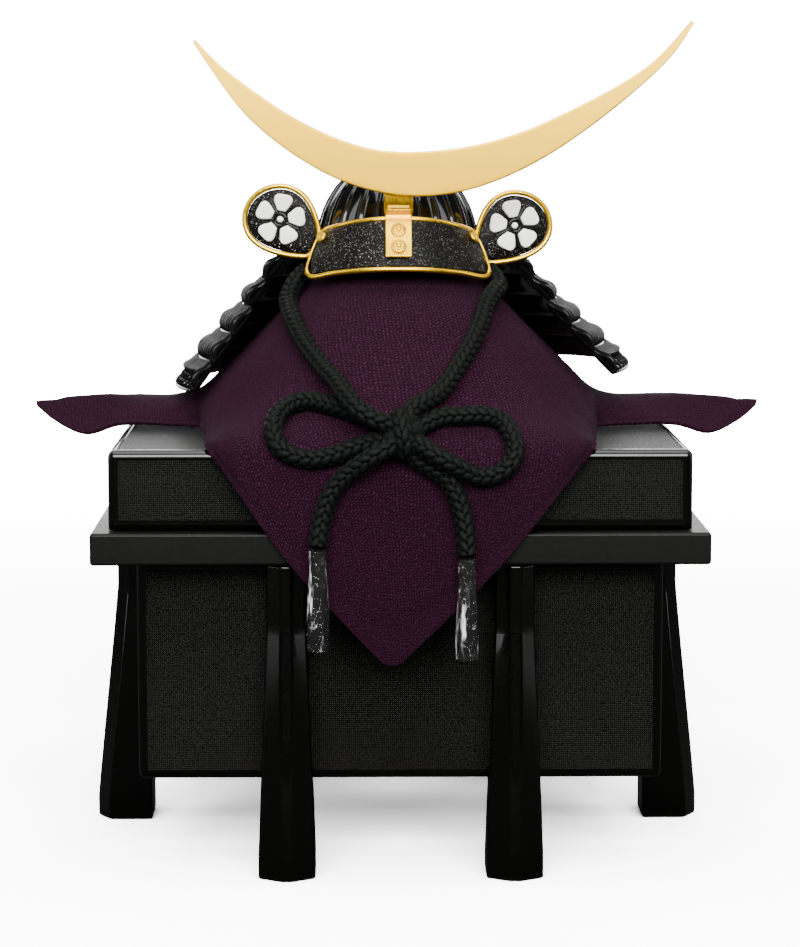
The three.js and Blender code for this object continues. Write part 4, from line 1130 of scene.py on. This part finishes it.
# where the rim is thin: from where sideways, and between which heights
thinRim = (((40.5, 43.5), (76.5, 79), (96, 92)), ((35, 38), (81, 85), (96, 93)))
studMake = {"across": 0.86, "down": 0.23, "standsOff": 0.6, "sides": 32}
studProfile = [(0, -0.2), (2.6, -0.1), (2.8, 0.25), (2.65, 0.8), (2.1, 1.35), (1.5, 1.5), (1.0, 1.2),
               (0.7, 0.8), (0.3, 0.65), (0, 0.65)]


def onVisor(across, down):
    # across is -1 to 1 over the visor, down is 0 at its upper edge and 1 at its lower one
    across, down = np.broadcast_arrays(np.asarray(across, float), np.asarray(down, float))
    square, make = across**2, visorMake
    height = make["topMiddle"] + (make["topEnd"] - make["topMiddle"]) * square
    top = onBowl(math.radians(make["topTurn"]) * across, height, make["offBowl"])
    bottom = np.stack([make["bottomHalfWidth"] * across, make["bottomSweep"] * square - make["bottomReach"],
                       make["bottomMiddle"] + (make["bottomEnd"] - make["bottomMiddle"]) * square], axis=-1)
    push = np.stack([across * 0.5, 0 * across - 0.8, 0 * across + 0.5], axis=-1)
    swell = make["bulge"] * np.sin(math.pi * down)
    return top + (bottom - top) * down[..., None] + push * swell[..., None]


def visorNormal(across, down):
    step = 0.01
    along = onVisor(across + step, down) - onVisor(across - step, down)
    slope = onVisor(across, down + step) - onVisor(across, down - step)
    normal = np.cross(slope, along)
    return normal / np.linalg.norm(normal, axis=-1, keepdims=True)


visorMiddle = visorNormal(0.0, 0.5)  # the way that the visor's middle faces


def addVisorPlate():
    across = np.linspace(-0.95, 0.95, visorMake["columns"])[None, :]
    down = np.linspace(0.05, 0.95, visorMake["rows"])[:, None]
    grid = onVisor(across, down)
    lift = visorNormal(across, down) * (visorMake["thickness"] / 2)
    rows, columns = grid.shape[:2]
    count = rows * columns
    vertices = np.concatenate([(grid + lift).reshape(-1, 3), (grid - lift).reshape(-1, 3)])
    places = np.arange(count).reshape(rows, columns)
    edge = np.concatenate([places[0], places[1:, -1], places[-1, -2::-1], places[-2:0:-1, 0]])
    after = np.roll(edge, -1)
    front, back = gridFaces(rows, columns), gridFaces(rows, columns, first=count)[:, ::-1]
    faces = np.concatenate([front, back, np.stack([edge, edge + count, after + count, after], axis=1)])
    plate = addPiece("pebbledVisor", inFrame(vertices), faces[:, ::-1], pebbled)
    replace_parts(plate, "visor")


def addVisorRim():
    # a round bead along the visor's edge, thinner where it runs close to the bowl and the cloth
    path = np.concatenate([onVisor(visorStops, 0.0), onVisor(1.0, visorDowns),
                           onVisor(visorStops[::-1], 1.0), onVisor(-1.0, visorDowns[::-1])])
    line = closedLine(path, np.linspace(0, len(path), visorMake["rimPoints"], endpoint=False))
    thin = np.zeros(len(line))
    for sideways, above, below in thinRim:
        inHeight = smoothStep(*above, line[:, 2]) * smoothStep(*below, line[:, 2])
        thin = np.maximum(thin, smoothStep(*sideways, np.abs(line[:, 0])) * inHeight)
    radius = visorMake["rimRadius"] + (visorMake["sideRim"] - visorMake["rimRadius"]) * thin
    points, faces = tube(line, radius, 16, closed=True)
    rim = addPiece("giltVisorRim", inFrame(points), faces, gilt)
    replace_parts(rim, "visor_rim")


def addStud(side):
    across = studMake["across"] * (-1 if side == "left" else 1)
    normal = visorNormal(across, studMake["down"])
    standsOff = visorMake["thickness"] / 2 + studMake["standsOff"]
    points, faces = turnedMesh(studProfile, studMake["sides"])
    points = facing(points, onVisor(across, studMake["down"]) + normal * standsOff, normal)
    stud = addPiece(pieceName("paleStud", side), inFrame(points), faces, paleGold)
    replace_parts(stud, "visor_stud_" + side)


addVisorPlate()
addVisorRim()
addStud("left")
addStud("right")
print("visor made")


# crest holder and its rosettes
holderMake = {"width": 13.5, "offVisor": 2.8, "thickness": 1.2, "back": -46.2, "front": -51.2,
              "bottom": 106, "top": 120, "slotWidth": 11, "slotDepth": 2.4, "slotFloor": 2,
              "narrower": 0.93, "softness": 0.35, "sharp": 0.6}
slotMiddle = (holderMake["back"] + holderMake["front"]) / 2
socketBend = ((0.1, 10), (0.5, 6), (1.5, 3.4), (2.2, 1.4))  # behind the front, and above the bottom


def boxMesh(low, high):
    return np.array(boxCorners(low, high), float), list(boxSides.values())


def holderOutline():
    # the strip from the side: down behind it, over the socket and back along its face
    def off(down, distance):
        return onVisor(0.0, down) + visorMiddle * distance

    back, front = holderMake["offVisor"], holderMake["offVisor"] + holderMake["thickness"]
    socket = [(0, holderMake["back"], holderMake["bottom"] + 1), (0, holderMake["back"], holderMake["top"]),
              (0, holderMake["front"], holderMake["top"])]
    bend = [(0, holderMake["front"] + y, holderMake["bottom"] + z) for y, z in socketBend]
    behind = [off(down, back) for down in (0.84, 0.5, 0.02)]
    face = [off(0.02, front) + (0, 0, 0.2), *(off(down, front) for down in (0.2, 0.5, 0.84))]
    return behind + socket + bend + face


def cutSlot(piece):
    across, deep = holderMake["slotWidth"] / 2, holderMake["slotDepth"] / 2
    points, faces = boxMesh((-across, slotMiddle - deep, holderMake["bottom"] + holderMake["slotFloor"]),
                            (across, slotMiddle + deep, holderMake["top"] + 1))
    data = bpy.data.meshes.new("slotCut")
    data.from_pydata([tuple(p) for p in inFrame(points)], [], faces)
    cutter = addObject("slotCut", data)
    addModifier(piece, "BOOLEAN", "slot", operation="DIFFERENCE", object=cutter, solver="EXACT")
    applyModifiers(piece)
    bpy.data.objects.remove(cutter)


def addHolder():
    # a bent strip on the visor that rises into a flat socket
    outline = holderOutline()
    half, lower = holderMake["width"] / 2, onVisor(0.0, 0.02)[2] + 4
    mesh = bmesh.new()
    loops = []
    for x in (-half, half):
        loops.append([mesh.verts.new((x * (holderMake["narrower"] if p[2] < lower else 1.0), p[1], p[2]))
                      for p in outline])
    left, right = loops
    for k in range(len(outline)):
        nextK = (k + 1) % len(outline)
        mesh.faces.new((left[k], left[nextK], right[nextK], right[k]))
    mesh.faces.new(left[::-1])
    mesh.faces.new(right)
    bmesh.ops.recalc_face_normals(mesh, faces=mesh.faces)
    data = bpy.data.meshes.new("crestSocket")
    mesh.to_mesh(data)
    mesh.free()
    data.transform(Matrix.Translation((0, 0, lidTop)) @ Matrix.Scale(mm, 4))
    data.materials.append(gilt)
    piece = addObject("crestSocket", data)
    cutSlot(piece)
    addBevel(piece, "softEdges", holderMake["softness"], 3, holderMake["sharp"])
    evenShade(piece)
    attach(piece, helmetBody)
    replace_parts(piece, "crest_holder")


rosettePetals = 8
rosetteProfile = [  # radius and height, then how far both draw in between the petals
    (0, 0, 0, 0), (3.75, 0, 0.35, 0), (3.75, 0.35, 0.35, 0), (3.3, 0.85, 0.3, 0.12), (2.6, 0.8, 0.1, 0.3),
    (2.55, 0.95, -0.25, 0), (2.3, 1.3, -0.25, -0.1), (1.6, 1.2, -0.05, -0.3), (1.3, 1.25, 0, 0),
    (1.2, 1.6, 0, 0), (0.7, 1.85, 0, 0), (0, 1.9, 0, 0),
]


def rosetteMesh():
    # two tiers of rounded petals round a button; the upper tier's numbers are below zero
    turn = fullTurn(rosettePetals * 24)
    lower, upper = (np.abs(wave(turn * rosettePetals)) ** 0.5 for wave in (np.cos, np.sin))
    loops = []
    for radius, height, drawn, dip in rosetteProfile:
        gap = 1 - (lower if drawn > 0 or dip > 0 else upper)
        reach = radius - abs(drawn) * gap
        loops.append(np.stack([reach * np.cos(turn), reach * np.sin(turn), height - abs(dip) * gap], axis=1))
    return np.concatenate(loops), gridFaces(len(loops), len(turn), roundColumns=True)


def addRosette(name, node, down):
    standsOff = holderMake["offVisor"] + holderMake["thickness"] + 0.2
    seat = onVisor(0.0, down) + visorMiddle * standsOff
    points, faces = rosetteMesh()
    piece = addPiece(name, inFrame(facing(points, seat, visorMiddle)), faces, gilt)
    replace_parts(piece, node)


addHolder()
addRosette("rosetteUpper", "rosette_upper", 0.34)
addRosette("rosetteLower", "rosette_lower", 0.66)
print("crest holder made")


# crescent crest
crestOuter = [(-97.8, 187), (-72, 151.9), (-38.8, 127.1), (-5.8, 115.6), (27.3, 115.9), (60.4, 127.6),
              (93.4, 148.6), (126.4, 176.7), (140.6, 196.2)]
crestInner = [(139.2, 197.6), (118.2, 175.8), (85.1, 156.8), (52.1, 142.8), (19, 136.2), (-14, 137.3),
              (-47.1, 150.3), (-80.1, 172.6), (-96.8, 188.6)]
crestMake = {"front": -53, "thickness": 1.3, "bracketTop": 130, "play": 0.4, "aboveSlot": 0.8,
             "smaller": 0.3, "steps": 150, "across": 9, "flat": (0.12, 0.88), "narrowest": 0.1}
crestEdge = ((0.0, 0.35), (0.12, 0.72), (0.4, 0.95), (0.9, 1.0))  # how far in, and share of the thickness


def plainSpline(points, samples):
    # the evenly stepped curve that an outline drawn through its points has
    p = np.asarray(points, float)
    count = len(p) - 1
    t = np.asarray(samples) * count
    i = np.minimum(t.astype(int), count - 1)
    t = (t - i)[:, None]
    a, b = p[np.maximum(i - 1, 0)], p[i]
    c, d = p[i + 1], p[np.minimum(i + 2, count)]
    start, end = (c - a) / 2, (d - b) / 2
    return (2 * b - 2 * c + start + end) * t**3 + (-3 * b + 3 * c - 2 * start - end) * t**2 + start * t + b


def crestFace(low, high, face):
    # rows from the outer edge to the inner one; on a narrow end the soft edges are narrower too
    width = np.linalg.norm(high - low, axis=1)
    direction = (high - low) / np.maximum(width, 1e-6)[:, None]
    edge = [(np.minimum(inwards, width * crestMake["narrowest"]), stand) for inwards, stand in crestEdge]
    rows = edge + [(share * width, 1.0) for share in np.linspace(*crestMake["flat"], crestMake["across"])]
    rows += [(width - reach, stand) for reach, stand in edge[::-1]]
    half = crestMake["thickness"] / 2
    loops = []
    for reach, stand in rows:
        x, z = (low + direction * reach[:, None]).T
        y = np.full(len(x), crestMake["front"] + half + face * half * stand)
        loops.append(np.stack([x, y, z], axis=1))
    return loops


def addCrest():
    # a flat crescent with softly rounded edges; the tongue behind it stands in the holder
    samples = np.linspace(0, 1, crestMake["steps"])
    low, high = plainSpline(crestOuter, samples), plainSpline(crestInner, samples)[::-1]
    around = crestFace(low, high, -1) + crestFace(low, high, 1)[::-1]
    crescent = np.stack(around, axis=1).reshape(-1, 3), closedFaces(len(low), len(around))
    wide, deep = (holderMake[way] / 2 - crestMake["play"] for way in ("slotWidth", "slotDepth"))
    slotFloor, narrow = holderMake["bottom"] + holderMake["slotFloor"], wide - crestMake["smaller"]
    tongue = boxMesh((-wide, slotMiddle - deep, slotFloor + crestMake["aboveSlot"]),
                     (wide, slotMiddle + deep, crestMake["bracketTop"]))
    bracket = boxMesh((-narrow, crestMake["front"] + crestMake["thickness"] - 0.1, holderMake["top"] + 0.4),
                      (narrow, slotMiddle, crestMake["bracketTop"] - crestMake["smaller"]))
    vertices, faces = joinMeshes([crescent, tongue, bracket])
    piece = addPiece("crescentCrest", inFrame(vertices), faces, paleGold, body=crestBody)
    addModifier(piece, "EDGE_SPLIT", "boxEdges", split_angle=1.0)
    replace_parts(piece, "crescent_crest")


addCrest()
print("crest made")


# turned-back flaps
flapMake = {"centreX": 57.5, "centreY": -13.4, "height": {"left": 102, "right": 98.9}, "yaw": 10,
            "thickness": 1.8, "rimRadius": 1.35, "inset": 1.5, "curveSteps": 24}
blossomMake = {"petals": 5, "turn": 10, "above": 0.06, "height": 0.9, "curveSteps": 9, "stem": (0.6, 0.42),
               "stemFrom": 2.3, "stemTo": 11.2, "stemPoints": 10, "sides": 40, "button": 1.55,
               "buttonHeight": 1.1, "buttonEdge": 1.2, "ring": 3.0, "ringWidth": 0.6}
flapCurves = [  # each row is a start, two handles and an end; +X points outwards
    [(-19.4, -6.5), (-17.6, 4), (-13.2, 15.4), (-1, 16.3)],
    [(-1, 16.3), (10, 16.6), (18.4, 9), (18.1, -1)],
    [(18.1, -1), (17.6, -10.6), (8, -17.4), (-11.5, -18.2)],
    [(-11.5, -18.2), (-15, -18.4), (-18.6, -14), (-19.4, -6.5)],
]


def bezier(points, samples):
    a, b, c, d = (np.array(p, float) for p in points)
    t = np.asarray(samples)[:, None]
    return a * (1 - t) ** 3 + 3 * b * t * (1 - t) ** 2 + 3 * c * t**2 * (1 - t) + d * t**3


def outlineOf(curves, steps):
    return np.concatenate([bezier(curve, np.linspace(0, 1, steps, endpoint=False)) for curve in curves])


def flapPlace(points, side):
    # from a flap's own plane to the helmet; the left flap is mirrored
    outwards = -1 if side == "left" else 1
    x, y, z = (np.asarray(points, float) * (outwards, 1, 1)).T
    upright = rotated(np.stack([x, -z, y], axis=1), math.radians(flapMake["yaw"]) * outwards)
    return upright + (outwards * flapMake["centreX"], flapMake["centreY"], flapMake["height"][side])


def addFlapPiece(word, side, mesh, look):
    points, faces = mesh
    if side == "left":
        faces = [tuple(f)[::-1] for f in faces]
    piece = addPiece(pieceName(word, side), inFrame(flapPlace(points, side)), faces, look)
    return piece


def atHeight(flat, height):
    return np.concatenate([flat, np.full((len(flat), 1), height)], axis=1)


def puffed(outline, base, height, rings=6, edge=0.8):
    # a low cushion over an outline: flat underneath, rounded towards its edge
    middle = outline.mean(axis=0)
    inwards = (middle - outline) / np.linalg.norm(outline - middle, axis=1)[:, None]
    loops = [atHeight(outline, base)]
    for rise in np.linspace(0, math.pi / 2, rings):
        place = outline + inwards * (edge * (1 - math.cos(rise)))
        loops.append(atHeight(place, base + height * math.sin(rise)))
    points = np.concatenate(loops + [[(*middle, base + height)]])
    count = len(outline)
    faces = [tuple(f) for f in gridFaces(len(loops), count, roundColumns=True)]
    last = (len(loops) - 1) * count
    faces += [(last + k, last + (k + 1) % count, len(points) - 1) for k in range(count)]
    faces.append(tuple(range(count))[::-1])
    return points, faces


petalCurves = [
    [(2.1, 4.3), (2.9, 5.9), (4.2, 7.6), (4.6, 9.2)],
    [(4.6, 9.2), (4.9, 11.1), (3.7, 12.3), (1.9, 12.4)],
    [(1.9, 12.4), (1.2, 12.45), (0.6, 12.45), (0, 12.45)],
    [(0, 12.45), (-0.6, 12.45), (-1.2, 12.45), (-1.9, 12.4)],
    [(-1.9, 12.4), (-3.7, 12.3), (-4.9, 11.1), (-4.6, 9.2)],
    [(-4.6, 9.2), (-4.2, 7.6), (-2.9, 5.9), (-2.1, 4.3)],
    [(-2.1, 4.3), (-1.2, 4.0), (1.2, 4.0), (2.1, 4.3)],
]


def addFlap(side):
    # a lacquered plate within a round gilt rim
    outline = outlineOf(flapCurves, flapMake["curveSteps"])
    inner = outline * (1 - flapMake["inset"] / np.linalg.norm(outline, axis=1)[:, None])
    half = flapMake["thickness"] / 2
    section = ((0.02, -half), (0.5, -half), (0.97, -half), (1, -half + 0.3),
               (1, half - 0.3), (0.97, half), (0.5, half), (0.02, half))
    points = np.concatenate([atHeight(inner * share, z) for share, z in section])
    plate = points, closedFaces(len(section), len(inner))
    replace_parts(addFlapPiece("pebbledFlap", side, plate, pebbled), "turnback_" + side)
    rim = tube(atHeight(outline, 0), flapMake["rimRadius"], 16, closed=True)
    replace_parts(addFlapPiece("giltFlapRim", side, rim, gilt), "turnback_rim_" + side)


def addBlossom(side):
    # white petals round a button, with dark stems between them
    base, sides = flapMake["thickness"] / 2 + blossomMake["above"], blossomMake["sides"]
    petal = puffed(outlineOf(petalCurves, blossomMake["curveSteps"]), base, blossomMake["height"])
    count, stemPoints = blossomMake["petals"], blossomMake["stemPoints"]
    stemEnds = [(lean, blossomMake[end], base + 0.1) for lean, end in ((-0.1, "stemFrom"), (0.1, "stemTo"))]
    stem = np.linspace(*stemEnds, stemPoints)
    thickness = np.linspace(*blossomMake["stem"], stemPoints)
    petals, stems = [], []
    for k in range(count):
        angle = 2 * math.pi * k / count + math.radians(blossomMake["turn"])
        petals.append((rotated(petal[0], angle), petal[1]))
        stems.append(tube(rotated(stem, angle + math.pi / count), thickness, 8))
    button = circle(blossomMake["button"], sides)[:, :2]
    petals.append(puffed(button, base, blossomMake["buttonHeight"], edge=blossomMake["buttonEdge"]))
    ring = circle(blossomMake["ring"], sides, base + 0.15)
    stems.append(tube(ring, blossomMake["ringWidth"], 10, closed=True))
    white = addFlapPiece("whiteBlossom", side, joinMeshes(petals), enamel)
    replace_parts(white, "blossom_" + side)
    addFlapPiece("darkStems", side, joinMeshes(stems), lacquer)


for side in ("left", "right"):
    addFlap(side)
    addBlossom(side)
print("flaps made")


# neck guard
guardMake = {"pitch": 16.5, "firstRadius": 62.5, "firstHeight": 77.5, "slope": 46.5,
             "frontTurns": (80, 72, 64, 64, 64), "depthScale": 1.02, "shift": 2.4, "lift": 0.042,
             "leanFrom": 87.5, "leanOver": 60, "nick": 0.5, "ridge": 0.22}
laceMake = {"width": 3.3, "endRoom": 3.4, "fill": 0.97, "bulge": 0.5, "sunk": 0.15, "puff": 0.12,
            "steps": 16, "sides": 8, "draws": 40}
bindingMake = {"radius": 1.45, "inwards": 1.9, "step": 0.6, "sides": 14, "across": 3.2, "swell": 0.42,
               "swellAt": 0.24, "swellWidth": 0.09}
beadMake = {"radius": 0.36, "step": 0.5, "sides": 10}
crossMake = {"radius": 0.62, "points": 9, "sides": 7, "across": 1.6, "length": 4.5, "tops": (-1.2, 2.4),
             "drop": 3.1, "lift": 0.75, "arch": 0.45, "over": 0.15}
# runs along the lame and out from it
plateOuter = [(-8.7, 0.3), (-4, 0.3), (1, 0.3), (4, 0.35), (6.6, 0.4), (7.2, 0.1)]
plateInner = [(7.2, -0.7), (6.6, -0.9), (3, -0.9), (-2, -0.9), (-6.4, -0.9), (-8.7, -0.3)]
laceRun = [(-10.3, 1.1), (-9.4, 1.75), (-7.4, 2.0), (-5, 2.3), (-2.8, 3.5), (-0.9, 4.2), (1.2, 4.1),
           (3.3, 3.3), (4.8, 1.7), (5.2, 0.5)]
lastLaceRun = laceRun[:5] + [(-1.9, 2.6), (-1.3, 0.8)]
bindingRun = [(-9.2, 1.0), (-6, 1.6), (-3.2, 2.4), (-0.8, 3.0), (1.8, 2.7), (4.0, 1.7), (5.6, 0.9),
              (5.9, -0.1), (4, -0.4), (-2, -0.4), (-7, -0.3)]
beadRun = [(-8.0, 0.9), (-5.5, 1.5), (-3, 2.6), (-0.8, 4.0), (1.6, 4.2), (3.8, 2.9), (5.6, 0.9), (7.0, 0.4)]
beadInwards = np.array([0.6, 0.5, 0.45, 0.4, 0.45, 0.6, 1.2, 3.0])


def guardPlace(turn, radius, height):
    # the guard spreads round the back; each of its ends leans a little lower on the right side
    low = np.clip((guardMake["leanFrom"] - height) / guardMake["leanOver"], 0, 1)
    x = radius * np.sin(turn) + guardMake["shift"] * low
    y = -radius * np.cos(turn) * guardMake["depthScale"]
    return np.stack(np.broadcast_arrays(x, y, height + guardMake["lift"] * low * x), axis=-1)


def onLame(number, turn, along, out):
    slope = math.radians(guardMake["slope"])
    down = guardMake["pitch"] * (number - 1) + along
    radius = guardMake["firstRadius"] + down * math.cos(slope) + out * math.sin(slope)
    return guardPlace(turn, radius, guardMake["firstHeight"] - down * math.sin(slope) + out * math.cos(slope))


def lameReach(number):
    front = math.radians(guardMake["frontTurns"][number - 1])
    return front, 2 * math.pi - front


def lameRadius(number):
    outwards = math.cos(math.radians(guardMake["slope"]))
    return guardMake["firstRadius"] + guardMake["pitch"] * (number - 1) * outwards


def lacedColumns(number):
    # the middles of the upright laces, side by side from one end binding to the other
    start, stop = lameReach(number)
    edge = laceMake["endRoom"] / lameRadius(number)
    reach = stop - start - 2 * edge
    count = int(reach * lameRadius(number) / laceMake["width"])
    half = reach / count / 2
    return np.linspace(start + edge + half, stop - edge - half, count), half


def stripPlaces(across, travel):
    # places across and along a lace, for its weave
    return np.stack(np.broadcast_arrays(across[None, :], travel[:, None]), axis=-1).reshape(-1, 2)


def lacedMesh(number, run):
    # flat braids that bulge over the lame, each a closed strip with rounded edges
    middles, half = lacedColumns(number)
    path = smoothLine([(a, o, 0) for a, o in run], np.linspace(0, 1, laceMake["steps"]))
    travel = np.concatenate([[0], np.cumsum(np.linalg.norm(np.diff(path, axis=0), axis=1))])
    puffs = np.sin(math.pi * travel / travel[-1])
    around = fullTurn(laceMake["sides"])
    out = laceMake["bulge"] * np.sin(around) - laceMake["sunk"]
    faces = closedFaces(len(path), laceMake["sides"])
    places = stripPlaces(half * lameRadius(number) * np.cos(around), travel)
    random.seed(laceMake["draws"] + number)
    parts = []
    for middle in middles:
        puff = random.uniform(-laceMake["puff"], laceMake["puff"])
        turn = middle + half * laceMake["fill"] * np.cos(around)
        strip = [onLame(number, turn, a, o + puff * p + out) for (a, o, _), p in zip(path, puffs)]
        parts.append((np.concatenate(strip), faces))
    return parts, [places] * len(parts)


def platedMesh(number):
    # the lacquered band under the laces; its lower edge is nicked between the scales
    start, stop = lameReach(number)
    middles, half = lacedColumns(number)
    turn = np.linspace(start, stop, len(middles) * 6 + 1)
    nick = np.abs(np.cos((turn - middles[0]) / half * math.pi / 2)) ** 0.5 - 1
    loops = []
    for along, out in plateOuter + plateInner:
        ridge = guardMake["ridge"] * nick if out > -0.2 and along > 0 else 0
        drawn = guardMake["nick"] * nick if along > 6 else 0
        loops.append(onLame(number, turn, along + drawn, out + ridge))
    if number == 1:  # the first lame reaches up to the bowl
        top = [onBowl(turn, 86.2, 1.6), onBowl(turn, 88, 1.6), guardPlace(turn, 50, 87.2),
               guardPlace(turn, 56.5, 85.9)]
        loops = top + loops[1:-1] + [guardPlace(turn, 55, 83.9)]
    return np.stack(loops, axis=1).reshape(-1, 3), closedFaces(len(turn), len(loops))


def bindingMesh(number, turn, inwards):
    # the braid that edges an end of the lame: over the bulge, round the lower corner and back behind
    at = turn + inwards * bindingMake["inwards"] / lameRadius(number)
    line, travel = evenLine([onLame(number, at, a, o) for a, o in bindingRun], bindingMake["step"])
    toSwell = (travel / travel[-1] - bindingMake["swellAt"]) / bindingMake["swellWidth"]
    radius = bindingMake["radius"] * (1 + bindingMake["swell"] * np.exp(-toSwell**2))
    across = np.linspace(-1, 1, bindingMake["sides"], endpoint=False) * bindingMake["across"]
    return tube(line, radius, bindingMake["sides"]), stripPlaces(across, travel)


def beadMesh(number, turn, inwards):
    # a thin glossy bead outside the braid, from the lame's upper edge to its lower corner
    at = turn + inwards * beadInwards / lameRadius(number)
    line = evenLine([onLame(number, t, a, o) for t, (a, o) in zip(at, beadRun)], beadMake["step"])[0]
    return tube(line, beadMake["radius"], beadMake["sides"])


def crossMesh(number):
    # two rows of crossed stitches on the free lower part of the last lame
    middles = lacedColumns(number)[0]
    t = np.linspace(0, 1, crossMake["points"])
    across = np.linspace(-1, 1, crossMake["sides"], endpoint=False) * crossMake["across"]
    arch = crossMake["lift"] + crossMake["arch"] * np.sin(math.pi * t)
    parts = []
    for first in range(0, len(middles) - 1, 2):
        for a, b in ((0, 1), (1, 0)):
            start, stop = middles[first + a], middles[first + b]
            for top in crossMake["tops"]:
                out = arch + crossMake["over"] * a
                line = onLame(number, start + (stop - start) * t, top + crossMake["drop"] * t, out)
                parts.append(tube(line, crossMake["radius"], crossMake["sides"]))
    return parts, [stripPlaces(across, t * crossMake["length"])] * len(parts)


def addLame(number):
    start, stop = lameReach(number)
    ends = ((start, 1), (stop, -1))
    beads = [beadMesh(number, turn, inwards) for turn, inwards in ends]
    vertices, faces = joinMeshes([platedMesh(number), *beads])
    plate = addPiece(f"lacquerLame{number}", inFrame(vertices), faces, lacquer)
    addModifier(plate, "EDGE_SPLIT", "crispEdges", split_angle=0.9)
    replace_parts(plate, f"neck_lame_{number}")
    lowest = number == len(guardMake["frontTurns"])
    parts, places = lacedMesh(number, lastLaceRun if lowest else laceRun)
    if lowest:
        crosses, crossPlaces = crossMesh(number)
        parts, places = parts + crosses, places + crossPlaces
    for turn, inwards in ends:
        binding, bindingPlaces = bindingMesh(number, turn, inwards)
        parts.append(binding)
        places.append(bindingPlaces)
    vertices, faces = joinMeshes(parts)
    laces = addPiece(f"blackLaces{number}", inFrame(vertices), faces, laceBraid, uv=np.concatenate(places))


for number in range(1, len(guardMake["frontTurns"]) + 1):
    addLame(number)
print("neck guard made")


# floor and light
stageMake = {"reach": 14, "fill": 0.1, "behind": 16.0}


def addStage():
    data, reach = bpy.data.meshes.new("floor"), stageMake["reach"]
    corners = ((-reach, -reach), (reach, -reach), (reach, reach), (-reach, reach))
    data.from_pydata([(x, y, floorHeight) for x, y in corners], [], [(0, 1, 2, 3)])
    data.materials.append(paleFloor())
    addObject("floor", data)


lightTable = [
    # name, place, aim, width, height, power
    ("frontSoftbox", (0.0, -2.3, 1.3), (0, 0, 0.25), 2.6, 1.2, 205),
    ("leftSoftbox", (-1.7, -0.2, 0.8), (0, 0, 0.3), 0.4, 2.4, 15),
    ("rightSoftbox", (1.7, -0.2, 0.8), (0, 0, 0.3), 0.4, 2.4, 15),
    ("backSoftbox", (0.0, 2.1, 0.85), (0, 0, 0.3), 2.6, 1.3, 60),
]
skyLight = {"strength": 4.4, "spread": 1.0, "tilt": (0.1, 0.0, 0.0)}


def addLights():
    for name, place, aim, width, height, power in lightTable:
        data = bpy.data.lights.new(name, "AREA")
        data.shape = "RECTANGLE"
        data.size, data.size_y, data.energy = width, height, power
        lamp = addObject(name, data)
        lamp.location, lamp.rotation_euler = place, lookTowards(place, aim)
    data = bpy.data.lights.new("skySoftbox", "SUN")
    data.energy, data.angle = skyLight["strength"], skyLight["spread"]
    addObject("skySoftbox", data).rotation_euler = skyLight["tilt"]


def addWorld():
    # a faint even fill; the camera itself sees a much brighter white behind the scene
    world = bpy.data.worlds.new("studio")
    world.use_nodes = True
    bpy.context.scene.world = world
    nodes, links = world.node_tree.nodes, world.node_tree.links
    fill, behind = nodes["Background"], nodes.new("ShaderNodeBackground")
    for background, strength in ((fill, stageMake["fill"]), (behind, stageMake["behind"])):
        background.inputs["Color"].default_value = (1, 1, 1, 1)
        background.inputs["Strength"].default_value = strength
    seen, mix = nodes.new("ShaderNodeLightPath"), nodes.new("ShaderNodeMixShader")
    links.new(seen.outputs["Is Camera Ray"], mix.inputs["Fac"])
    links.new(fill.outputs[0], mix.inputs[1])
    links.new(behind.outputs[0], mix.inputs[2])
    links.new(mix.outputs[0], nodes["World Output"].inputs["Surface"])


addStage()
addLights()
addWorld()
print("stage made")
